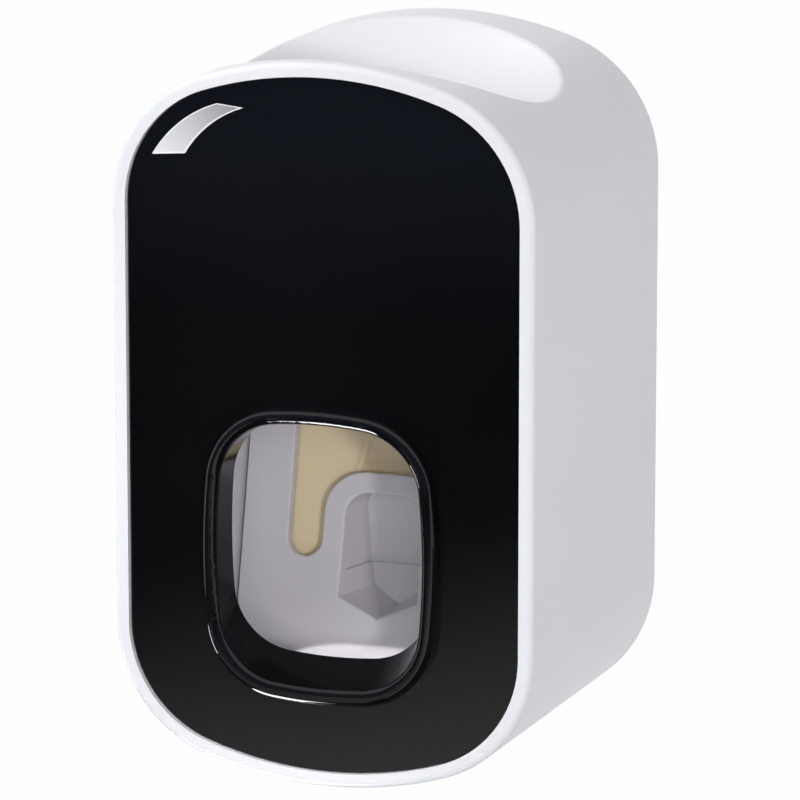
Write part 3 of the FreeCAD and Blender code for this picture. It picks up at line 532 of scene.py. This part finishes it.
# %% [markdown]
# ## Foam tape
# The wall pad is acrylic foam tape: matt, with closed cells of some tenths of a millimetre that
# show on its cut edges as tiny dimples. Noise could roughen it, but only a Voronoi pattern has
# cells with walls between them, as foam does.

# %% Acrylic foam tape
FOAM_CELL_MM = 0.5
FOAM_DIMPLE_MM = 0.06

# Chalky and without gloss. Each cell is a shade darker in its middle, where its dimple sinks:
# painted shade.
foam = blank_material("acrylic_foam_tape")
tree = foam.node_tree
where = add(tree, "ShaderNodeTexCoord").outputs["Object"]
cells = add(tree, "ShaderNodeTexVoronoi", {"Vector": where, "Scale": 1 / (FOAM_CELL_MM * MM)})
colour = add(tree, "ShaderNodeMix", {
    0: cells.outputs["Distance"], 6: linear("#c6c6c0"), 7: linear("#dcdcd7")}, data_type="RGBA")
bump = add(tree, "ShaderNodeBump", {
    "Height": cells.outputs["Distance"], "Strength": 1.0, "Distance": FOAM_DIMPLE_MM * MM})
shader = add(tree, "ShaderNodeBsdfPrincipled", {
    "Base Color": colour.outputs[2], "Roughness": 0.85, "IOR": 1.47, "Normal": bump.outputs[0]})
add(tree, "ShaderNodeOutputMaterial", {"Surface": shader.outputs[0]})

# %% [markdown]
# ## Foil
# The inlay in the panel's corner is hot-stamped silver foil, and its silver sheen is painted into
# its colour rather than mirrored. A painted highlight runs along its pressed edge, and a painted
# fade goes from pale silver at its foot to a darker grey at its tip. The highlight could be a
# second piece, but it follows the inlay's own outline, so the mesh carries it as a point attribute.
# The fade is a straight run from foot to tip in Object coordinates.

# %% Stamped silver foil with painted sheen
FADE_FOOT_MM = np.array((-23.0, 14.5))
FADE_TIP_MM = np.array((-12.5, 21.5))
# The flakes in the foil are too fine for the render, so they are drawn wider.
FLAKE_MM = 0.3

fade_run = FADE_TIP_MM - FADE_FOOT_MM
per_mm = fade_run / (fade_run @ fade_run)
per_metre = per_mm / MM

# Silver lacquer on film with painted sheen: bright like paper in its colour, and only partly a
# mirror.
foil = blank_material("silver_foil_painted_sheen")
tree = foil.node_tree
where = add(tree, "ShaderNodeTexCoord").outputs["Object"]
along_fade = add(tree, "ShaderNodeVectorMath", {0: where, 1: (per_metre[0], 0.0, per_metre[1])},
                 operation="DOT_PRODUCT")
share = add(tree, "ShaderNodeMath", {
    0: along_fade.outputs["Value"], 1: float(per_mm @ FADE_FOOT_MM)},
    operation="SUBTRACT", use_clamp=True)
# Painted sheen: pale silver at the foot, fading to a darker grey at the tip.
painted_sheen_fade = add(tree, "ShaderNodeMix", {
    0: share.outputs[0], 6: linear("#f2f2f3"), 7: linear("#9a9a9c")}, data_type="RGBA")
# Painted highlight: a near-white line along the pressed edge.
painted_edge_highlight = add(tree, "ShaderNodeAttribute", attribute_name="painted_edge_highlight")
colour = add(tree, "ShaderNodeMix", {
    0: painted_edge_highlight.outputs["Fac"], 6: painted_sheen_fade.outputs[2], 7: linear("#fbfbfc")}, data_type="RGBA")
flakes = add(tree, "ShaderNodeTexNoise", {
    "Vector": where, "Scale": 1 / (FLAKE_MM * MM), "Detail": 2.0})
rough = add(tree, "ShaderNodeMapRange", {
    "Value": flakes.outputs["Fac"], "To Min": 0.28, "To Max": 0.40})
shader = add(tree, "ShaderNodeBsdfPrincipled", {
    "Base Color": colour.outputs[2], "Metallic": 0.15, "Roughness": rough.outputs[0], "IOR": 1.5})
add(tree, "ShaderNodeOutputMaterial", {"Surface": shader.outputs[0]})

# %% [markdown]
# ## The CAD pieces that stay
# The rigid mouldings already have their true shape from the CAD model, with its rounded rims and
# fillets. Drawing them anew would only bring in errors, so they just get their finish. One table
# says which finish each material slot has.

# %% Finish of each slot
FINISH = {
    "casing_white": casing_abs,
    "panel_black": panel_abs,
    "foil_silver": foil,
    "chamber_white": chamber_pp,
    "pusher_white": pusher_pp_painted_shade,
    "head_white": head_pp,
    "silicone_beige": beige_silicone,
    "silicone_clear": milky_silicone,
    "steel": steel,
    "plate_white": casing_abs,
    "pad_foam": foam,
}
for part in frame["record"]["subparts"]:
    mesh = frame["nodes"][part["node"]].data
    mesh.materials.clear()
    mesh.materials.append(FINISH[part["material_slot"]])

# %% [markdown]
# ## Surfaces from numpy
# The soft and the finest pieces are drawn anew. They could be sculpted, but a formula keeps its
# sizes in sight and gives the same mesh each time. Each is a grid of points worked out as whole
# arrays; the seam and the poles of the grid are then welded shut, and the faces turned outwards.
# Places are written as the drawing has them: millimetres across, behind the front rim, and above
# the base.

# %% From grids of points to a piece
WALL_TO_RIM_MM = 53.0
ORIGIN_ABOVE_BASE_MM = 72.0
WELD = 1e-7


def row_points(x, depth, height):
    """(x, depth behind the rim, height above the base) in mm to row-frame metres:
    y = depth - 53 and z = height - 72, each times 0.001."""
    x, depth, height = np.broadcast_arrays(x, depth, height)
    return np.stack((x, depth - WALL_TO_RIM_MM, height - ORIGIN_ABOVE_BASE_MM), axis=-1) * MM


def weld(mesh):
    """Joins doubled points and turns all faces outwards."""
    shape = bmesh.new()
    shape.from_mesh(mesh)
    bmesh.ops.remove_doubles(shape, verts=shape.verts, dist=WELD)
    bmesh.ops.recalc_face_normals(shape, faces=shape.faces)
    shape.to_mesh(mesh)
    shape.free()


def skin(name, grids, slot, painted_edge_highlight=None):
    """A smooth mesh from one or more point grids, each cell of a grid being one quad. The painted
    edge highlight, if given, holds a value for each point of each grid, which the mesh keeps as an
    attribute."""
    points, faces, start = [], [], 0
    for grid in grids:
        rows, columns = grid.shape[:2]
        corner = start + np.arange(rows * columns).reshape(rows, columns)
        cells = np.stack(
            (corner[:-1, :-1], corner[1:, :-1], corner[1:, 1:], corner[:-1, 1:]), axis=-1)
        points.append(grid.reshape(-1, 3))
        faces.append(cells.reshape(-1, 4))
        start += rows * columns
    mesh = bpy.data.meshes.new(name)
    mesh.from_pydata(np.concatenate(points).tolist(), [], np.concatenate(faces).tolist())
    if painted_edge_highlight is not None:
        values = np.concatenate([grid.reshape(-1) for grid in painted_edge_highlight])
        mesh.attributes.new("painted_edge_highlight", "FLOAT", "POINT").data.foreach_set("value", values)
    weld(mesh)
    mesh.shade_smooth()
    mesh.materials.append(FINISH[slot])
    piece = new_object(name, mesh)
    print(name, "has", len(mesh.polygons), "faces")
    return piece


# %% [markdown]
# Two kinds of grid serve most of the pieces. Moulded bags and pads are stacks of rounded
# rectangles, and sleeves, seals and necks are profiles turned on a lathe. A live bevel then rounds
# the sharp edges that a turned profile leaves; it could be written into each profile, but a
# modifier does it for all of them alike.


# %% Kinds of grid
def smooth_step(low, high, value):
    """0 below low, 1 above high, and 3t^2 - 2t^3 between."""
    t = np.clip((value - low) / (high - low), 0.0, 1.0)
    return t * t * (3 - 2 * t)


def rounded_sections(half_width, half_depth, corner, samples=24):
    """Rounded rectangles, one per station: a rectangle of half sizes (w - c, d - c) with a circle
    of radius c carried round it. Gives offsets across and in depth, a closed row per station."""
    signs = np.array(((1, 1), (-1, 1), (-1, -1), (1, -1), (1, 1)), float)
    quarter = np.linspace(0.0, np.pi / 2, samples)
    straight = np.linspace(0.0, 1.0, samples)[1:-1, None]
    path = []
    for k in range(4):
        bend = k * np.pi / 2 + quarter
        run = signs[k] + (signs[k + 1] - signs[k]) * straight
        path.append(np.column_stack((np.tile(signs[k], (samples, 1)), bend)))
        path.append(np.column_stack((run, np.full(len(run), bend[-1]))))
    side_x, side_y, angle = np.concatenate(path + [path[0][:1]]).T
    w, d, c = (np.asarray(v, float)[:, None] for v in (half_width, half_depth, corner))
    return (w - c) * side_x + c * np.cos(angle), (d - c) * side_y + c * np.sin(angle)


def turned(profile, depth, samples=96):
    """A profile of (radius, height) points turned about the upright axis at a depth:
    x = r cos a, depth = d + r sin a."""
    radius, height = np.asarray(profile, float).T
    angle = np.linspace(0.0, 2 * np.pi, samples + 1)
    return row_points(np.outer(radius, np.cos(angle)),
                      depth + np.outer(radius, np.sin(angle)), height[:, None])


def soften(piece, width_mm, segments=3):
    """Rounds a piece's sharp edges with a live bevel, as any moulded or pressed edge is."""
    bevel = piece.modifiers.new("rounded_edges", "BEVEL")
    bevel.width = width_mm * MM
    bevel.segments = segments
    bevel.limit_method = "ANGLE"
    bevel.angle_limit = math.radians(40)
    weights = piece.modifiers.new("even_shading", "WEIGHTED_NORMAL")
    weights.keep_sharp = False


# %% [markdown]
# ## The pump bladder
# Behind the pusher hangs a soft silicone bag. It could be blown up by a cloth simulation, but it is
# a moulded rubber shape, not a sewn one, so it is worked out: a stack of rounded rectangles whose
# size follows a quarter circle at both ends.

# %% Bladder: the plain bag
BAG_HALF_WIDTH, BAG_FRONT, BAG_BACK = 18.8, 30.8, 43.7
BAG_BOTTOM, BAG_TOP, BAG_ROUND = 20.0, 50.0, 3.5
LEAST_CORNER = 0.05

bag_middle = (BAG_FRONT + BAG_BACK) / 2
bag_half_depth = (BAG_BACK - BAG_FRONT) / 2
bend = np.linspace(0.0, np.pi / 2, 12)
end_drop, end_inset = BAG_ROUND * (1 - np.sin(bend)), BAG_ROUND * (1 - np.cos(bend))
side_height = np.linspace(BAG_BOTTOM + BAG_ROUND, BAG_TOP - BAG_ROUND, 60)[1:-1]
heights = np.concatenate(([BAG_BOTTOM], BAG_BOTTOM + end_drop[::-1], side_height,
                          BAG_TOP - end_drop, [BAG_TOP]))
inset = np.concatenate(([0.0], end_inset[::-1], np.zeros(len(side_height)), end_inset, [0.0]))
closed = np.concatenate(([0.0], np.ones(len(heights) - 2), [0.0]))
across, back = rounded_sections(
    (BAG_HALF_WIDTH - inset) * closed, (bag_half_depth - inset) * closed,
    np.maximum(BAG_ROUND - inset, LEAST_CORNER) * closed, samples=96)
level = heights[:, None]
print("bag is a grid of", across.shape, "points")

# %% [markdown]
# Being soft, the bag fills what room it has. It bulges forward beside and above the pusher's
# pocket, up to the back of the leaning plate, so that through the slots it is a plain warm surface.
# A lattice could pull it there, but the plate's lean and the pocket's outline are known, so the
# bulge is the room that they leave, stepped off smoothly at every border.

# %% Bladder: the bulge
PLATE_FOOT_HEIGHT, PLATE_FOOT_DEPTH = 18.0, 21.64
PLATE_LEAN, PLATE_GAP = math.radians(12), 1.2
POCKET_HALF_WIDTH, POCKET_ROOF, POCKET_CORNER, POCKET_STEP = 8.35, 37.2, 4.4, 0.4
BULGE_FOOT, BULGE_HEAD, BULGE_SIDE, BULGE_SIDE_END = 5.0, 3.0, 2.5, 0.2

from_middle = np.abs(across)
plate_back = (PLATE_FOOT_DEPTH + (level - PLATE_FOOT_HEIGHT) * math.tan(PLATE_LEAN) + PLATE_GAP)
room = np.clip(BAG_FRONT - plate_back, 0.0, None)
room = room * smooth_step(BAG_BOTTOM, BAG_BOTTOM + BULGE_FOOT, level)
room = room * (1 - smooth_step(BAG_TOP - BULGE_HEAD, BAG_TOP, level))
from_pocket = np.hypot(
    np.clip(from_middle - POCKET_HALF_WIDTH + POCKET_CORNER, 0.0, None),
    np.clip(level - POCKET_ROOF + POCKET_CORNER, 0.0, None)) - POCKET_CORNER
flank = 1 - smooth_step(BAG_HALF_WIDTH - BULGE_SIDE, BAG_HALF_WIDTH - BULGE_SIDE_END, from_middle)
bulge = room * smooth_step(0.0, POCKET_STEP, from_pocket) * flank
print("bag bulges forward by up to", round(float(bulge.max()), 1), "mm")

# %% [markdown]
# Above the pocket the bag has a shallow channel, whose edge is a fine raised line. The bulge and
# the channel are added to the front wall only; a neck on top takes the pump head's spigot.

# %% Bladder: channel, neck and mesh
FRONT_DEPTH = 2.0
CHANNEL_HALF_WIDTH, CHANNEL_TAPER, CHANNEL_START = 4.5, 0.24, 2.0
CHANNEL_SINK, CHANNEL_WALL, CHANNEL_END = 0.7, 0.4, 0.5
RIDGE_HEIGHT, RIDGE_OFFSET, RIDGE_WIDTH = 0.22, 0.5, 0.28
NECK_RADIUS, NECK_BORE, NECK_FOOT, NECK_TOP = 5.5, 3.7, BAG_TOP - 1, 57.5
NECK_ROUND, NECK_CHAMFER = 0.5, 0.15

half_channel = CHANNEL_HALF_WIDTH - CHANNEL_TAPER * (level - POCKET_ROOF - CHANNEL_START)
inside = 1 - smooth_step(-CHANNEL_WALL, CHANNEL_WALL, from_middle - half_channel)
ridge = np.exp(-((from_middle - half_channel - RIDGE_OFFSET) / RIDGE_WIDTH) ** 2)
above = smooth_step(POCKET_ROOF, POCKET_ROOF + CHANNEL_END, level)
channel = above * (CHANNEL_SINK * inside - RIDGE_HEIGHT * ridge)
front_wall = smooth_step(0.0, FRONT_DEPTH, -back)
body = row_points(across, bag_middle + back + front_wall * (channel - bulge), level)
neck = turned([
    (NECK_BORE, NECK_FOOT), (NECK_RADIUS, NECK_FOOT), (NECK_RADIUS, NECK_TOP - NECK_ROUND),
    (NECK_RADIUS - NECK_CHAMFER, NECK_TOP - NECK_CHAMFER), (NECK_RADIUS - NECK_ROUND, NECK_TOP),
    (NECK_BORE, NECK_TOP), (NECK_BORE, NECK_FOOT)], bag_middle)
bladder = skin("silicone_bladder", [body, neck], "silicone_beige")
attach(bladder, "casing")
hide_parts("pump_bladder")
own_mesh(bladder)

# %% [markdown]
# ## The return spring
# A light steel compression spring sits inside the bag and pushes it open again. A screw modifier
# would give it an even pitch, but a spring maker closes the last turn at each end flat against its
# neighbour: the pitch is nearly nothing at the ends and wide between. So the wire is a circle
# carried along its own helix, in the plane across its heading.

# %% Return spring
COIL_RADIUS, WIRE_RADIUS, COIL_TURNS = 6.0, 0.5, 5.0
COIL_FRONT, COIL_BACK, COIL_HEIGHT = 33.4, 41.1, 35.0
EVEN_SHARE, CLOSED_SHARE = 0.14, 0.12
WIRE_SIDES = 16

way = np.linspace(0.0, 1.0, 361)
climb = EVEN_SHARE * way + (1 - EVEN_SHARE) * smooth_step(CLOSED_SHARE, 1 - CLOSED_SHARE, way)
angle = 2 * np.pi * COIL_TURNS * way
coil = np.stack((COIL_RADIUS * np.cos(angle), COIL_FRONT + (COIL_BACK - COIL_FRONT) * climb,
                 COIL_HEIGHT + COIL_RADIUS * np.sin(angle)), axis=1)
heading = np.gradient(coil, axis=0)
heading /= np.linalg.norm(heading, axis=1, keepdims=True)
outward = np.stack((np.cos(angle), np.zeros_like(angle), np.sin(angle)), axis=1)
sideways = np.cross(heading, outward)
round_wire = np.linspace(0.0, 2 * np.pi, WIRE_SIDES + 1)[:, None]
ring = WIRE_RADIUS * (np.cos(round_wire) * outward[:, None, :]
                      + np.sin(round_wire) * sideways[:, None, :])
wire = coil[:, None, :] + ring
wire_ends = np.repeat(coil[[0, -1], None, :], WIRE_SIDES + 1, axis=1)
wire = np.concatenate((wire_ends[:1], wire, wire_ends[1:]))
spring = skin("coil_spring", [row_points(wire[..., 0], wire[..., 1], wire[..., 2])], "steel")
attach(spring, "casing")
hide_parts("return_spring")
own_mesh(spring)

# %% [markdown]
# ## Tube sleeve and seals
# The neck of a tube is pushed into a soft silicone sleeve in the dish. It, the gasket under it and
# the two valves are round in the real thing, because they come from turned moulds. They could stay
# CAD solids, but rubber has no sharp edges: each is a profile of radius and height in millimetres,
# spun about the upright axis, with its edges softened.

# %% Tube sleeve and seals
PORT_DEPTH, NOZZLE_DEPTH = 22.7, 12.5
RUBBER_ROUND_MM = 0.12

sleeve = skin("tube_socket_sleeve", [turned([
    (3.0, 67.0), (10.7, 67.0), (10.7, 88.6), (13.0, 88.6), (13.0, 89.9), (12.6, 90.2), (9.4, 90.2),
    (8.6, 89.9), (7.6, 88.9), (7.0, 87.8), (7.0, 84.0), (6.8, 83.6), (7.0, 83.2), (7.0, 78.0),
    (6.8, 77.6), (7.0, 77.2), (7.0, 69.0), (3.0, 69.0), (3.0, 67.0)],
    PORT_DEPTH)], "silicone_beige")
gasket = skin("port_seal_ring", [turned([
    (11.3, 85.35), (11.5, 85.2), (12.6, 85.2), (12.8, 85.35), (12.85, 85.8), (12.8, 86.25),
    (12.6, 86.4), (11.5, 86.4), (11.3, 86.25), (11.25, 85.8), (11.3, 85.35)],
    PORT_DEPTH)], "silicone_clear")
inlet = skin("inlet_flap_valve", [turned([
    (0.0, 62.8), (1.2, 62.8), (2.5, 63.3), (2.8, 64.2), (2.8, 66.0), (10.6, 66.0), (10.6, 67.0),
    (1.6, 67.0), (1.6, 65.0), (1.2, 64.4), (0.0, 64.2)], PORT_DEPTH)], "silicone_clear")
outlet = skin("outlet_slit_valve", [turned([
    (0.0, 53.05), (1.6, 53.12), (2.2, 53.2), (3.4, 53.2), (3.4, 54.0), (2.2, 54.0), (1.6, 53.85),
    (0.0, 53.75)], NOZZLE_DEPTH)], "silicone_clear")
for piece, node in ((sleeve, "tube_sleeve"), (gasket, "port_gasket"), (inlet, "inlet_valve"),
                    (outlet, "outlet_valve")):
    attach(piece, "casing")
    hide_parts(node)
    soften(piece, RUBBER_ROUND_MM)

# %% [markdown]
# ## The wall pad
# A pad of foam tape holds the plate to the wall. A box would do from afar, but foam that is pressed
# between two plates swells at its edge. The pad is a stack of rounded rectangles from plate to
# wall, wider in the middle by half a sine wave.

# %% Wall pad
PAD_HALF_WIDTH, PAD_HALF_HEIGHT, PAD_CORNER = 20.0, 13.0, 3.0
PAD_FRONT, PAD_BACK, PAD_SWELL = 52.0, 53.0, 0.12
PAD_ROUND_MM, PAD_ROUND_STEPS = 0.08, 2

through = np.linspace(0.0, 1.0, 13)
swell = np.concatenate(([0.0], PAD_SWELL * np.sin(np.pi * through), [0.0]))
closed = np.concatenate(([0.0], np.ones(len(through)), [0.0]))
through = np.concatenate(([0.0], through, [1.0]))
across, up = rounded_sections((PAD_HALF_WIDTH + swell) * closed,
                              (PAD_HALF_HEIGHT + swell) * closed, PAD_CORNER * closed)
pad_depth = PAD_FRONT + (PAD_BACK - PAD_FRONT) * through[:, None]
pad = skin("foam_wall_pad", [row_points(across, pad_depth, ORIGIN_ABOVE_BASE_MM + up)], "pad_foam")
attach(pad, "wall_mount")
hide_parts("adhesive_pad")
soften(pad, PAD_ROUND_MM, PAD_ROUND_STEPS)

# %% [markdown]
# ## The screws in the back
# Four tapping screws hold the chamber from behind. A real head has a rounded edge and a cross
# recess for the driver, and a plain disc would look like a stand-in. The recess could be cut by a
# boolean, but that leaves ragged faces. Here each screw is one grid, a profile turned about the
# axis that points at the wall, and its thread is a ripple that climbs one pitch in each turn.

# %% Screws: shank, thread and head
HEAD_RADIUS, HEAD_HEIGHT, HEAD_ROUND = 2.6, 1.2, 0.3
SHANK_RADIUS, TIP_LENGTH, RINGS_PER_MM = 1.2, 1.5, 6
THREAD_PITCH, THREAD_DEPTH, THREAD_END = 1.0, 0.16, 0.2

screw_low, screw_high = (np.array(corner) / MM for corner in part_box("chamber_screws"))
screw_length = screw_high[1] - screw_low[1]
under_head = screw_length - HEAD_HEIGHT
shank = np.linspace(TIP_LENGTH, under_head, int(under_head - TIP_LENGTH) * RINGS_PER_MM)
bend = np.linspace(0.0, np.pi / 2, 8)
face_radius = np.linspace(HEAD_RADIUS - HEAD_ROUND, 0.0, 48)[1:]
radius = np.concatenate(([0.0], np.full(len(shank), SHANK_RADIUS), [HEAD_RADIUS],
                         HEAD_RADIUS - HEAD_ROUND * (1 - np.cos(bend)), face_radius))[:, None]
reach = np.concatenate(([0.0], shank, [under_head],
                        screw_length - HEAD_ROUND * (1 - np.sin(bend)),
                        np.full(len(face_radius), screw_length)))[:, None]
angle = np.linspace(0.0, 2 * np.pi, 97)
on_shank = (reach >= TIP_LENGTH) & (reach < under_head - THREAD_END)
thread = 0.5 + 0.5 * np.cos(2 * np.pi * reach / THREAD_PITCH - angle)
thread_radius = radius - on_shank * THREAD_DEPTH * thread
print("screws are", round(float(screw_length), 1), "mm long")

# %% [markdown]
# The recess is pressed into the face of the same grid: two crossed arms with soft edges, deepest in
# the middle, as the driver's tip is. The four screws stand at the corners of the CAD screws' box.

# %% Screws: cross recess and mesh
CROSS_REACH, CROSS_HALF_WIDTH, CROSS_DEPTH, CROSS_EDGE = 1.55, 0.36, 0.8, 0.07
CROSS_TAPER = 0.5


def cross_arm(along, over):
    """1 inside one arm of the recess and 0 outside: the product of two soft steps, one at the ends
    of the arm and one at its sides."""
    ends = smooth_step(CROSS_REACH - CROSS_EDGE, CROSS_REACH + CROSS_EDGE, np.abs(along))
    sides = smooth_step(CROSS_HALF_WIDTH - CROSS_EDGE, CROSS_HALF_WIDTH + CROSS_EDGE, np.abs(over))
    return (1 - ends) * (1 - sides)


right, up = thread_radius * np.cos(angle), thread_radius * np.sin(angle)
cross = np.maximum(cross_arm(right, up), cross_arm(up, right))
on_face = reach >= screw_length
pressed = CROSS_DEPTH * cross * (1 - CROSS_TAPER * (radius / CROSS_REACH) ** 2) * on_face
screw_depth = screw_low[1] + reach - pressed + WALL_TO_RIM_MM
screw_grids = [row_points(x + right, screw_depth, z + up + ORIGIN_ABOVE_BASE_MM)
               for x in (screw_low[0] + HEAD_RADIUS, screw_high[0] - HEAD_RADIUS)
               for z in (screw_low[2] + HEAD_RADIUS, screw_high[2] - HEAD_RADIUS)]
screws = skin("back_tapping_screws", screw_grids, "steel")
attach(screws, "casing")
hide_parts("chamber_screws")

# %% [markdown]
# ## The corner inlay
# A curved silver band lies in the panel's upper left corner. A bevelled curve could draw it, but
# the band is wider at one end. Its two long sides are arcs through three points each, and the band
# is the sheet between them.

# %% Inlay: the sheet between two arcs
ARC_CENTRE = np.array((-11.7, 79.314))
OUTER_ARC = ((14.6, 152.7), (14.4, 128.0), (14.6, 103.6))
INNER_ARC = ((10.8, 139.0), (12.1, 111.3), (13.8, 88.3))


def arc_through(polar, share):
    """The circle through three (radius, degrees) points about ARC_CENTRE, from first to last:
    its centre from the two bisectors, then c + r(cos a, sin a) with a from first to last angle."""
    radius, degrees = np.array(polar).T
    around = np.radians(degrees)
    points = ARC_CENTRE + np.column_stack((radius * np.cos(around), radius * np.sin(around)))
    chords = points[1:] - points[0]
    centre = np.linalg.solve(2 * chords, (points[1:] ** 2).sum(1) - (points[0] ** 2).sum())
    spread = points - centre
    angles = np.unwrap(np.arctan2(spread[:, 1], spread[:, 0]))
    angle = angles[0] + (angles[2] - angles[0]) * share
    return centre + np.hypot(*spread[0]) * np.column_stack((np.cos(angle), np.sin(angle)))


def spaced(count, crowding):
    """Shares from 0 to 1 that crowd towards both ends: t - crowding sin(2 pi t) / 2 pi."""
    t = np.linspace(0.0, 1.0, count)
    return t - crowding * np.sin(2 * np.pi * t) / (2 * np.pi)


along, over = spaced(121, 0.8), spaced(41, 0.7)
outer, inner = arc_through(OUTER_ARC, along), arc_through(INNER_ARC, along)
sheet = outer[:, None, :] + (inner - outer)[:, None, :] * over[None, :, None]
band = np.linalg.norm(inner - outer, axis=1)[:, None]
print("inlay is", np.round([band.min(), band.max()], 1), "mm wide at its narrowest and widest")

# %% [markdown]
# Stamping leaves the rim of the foil a little higher than its middle. How near each point is to the
# outline gives that step, and it also places the foil's painted highlight. A back and
# four walls close the sheet.

# %% Inlay: pressed rim and mesh
INLAY_FACE, INLAY_BACK, INLAY_SINK = 0.66, 1.0, 0.06
INLAY_EDGE, EDGE_FROM, EDGE_TO = 0.33, 0.75, 1.15

length = np.linalg.norm(np.diff(sheet, axis=0), axis=2).cumsum(axis=0)
length = np.concatenate((np.zeros((1, length.shape[1])), length))
to_side = np.minimum(band * over, band * (1 - over))
to_edge = np.minimum(to_side, np.minimum(length, length[-1] - length))
rim = 1 - smooth_step(INLAY_EDGE * EDGE_FROM, INLAY_EDGE * EDGE_TO, to_edge)
face = row_points(sheet[..., 0], INLAY_FACE + INLAY_SINK * (1 - rim), sheet[..., 1])
rear = row_points(sheet[..., 0], INLAY_BACK, sheet[..., 1])
walls = [np.stack((face[0], rear[0])), np.stack((face[-1], rear[-1])),
         np.stack((face[:, 0], rear[:, 0])), np.stack((face[:, -1], rear[:, -1]))]
# The painted highlight: the rim on the face, and full brightness on the back and walls.
painted_highlight_masks = [rim] + [np.ones(grid.shape[:2]) for grid in [rear] + walls]
inlay = skin("corner_inlay", [face, rear] + walls, "foil_silver", painted_highlight_masks)
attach(inlay, "front_panel")
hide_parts("corner_accent")
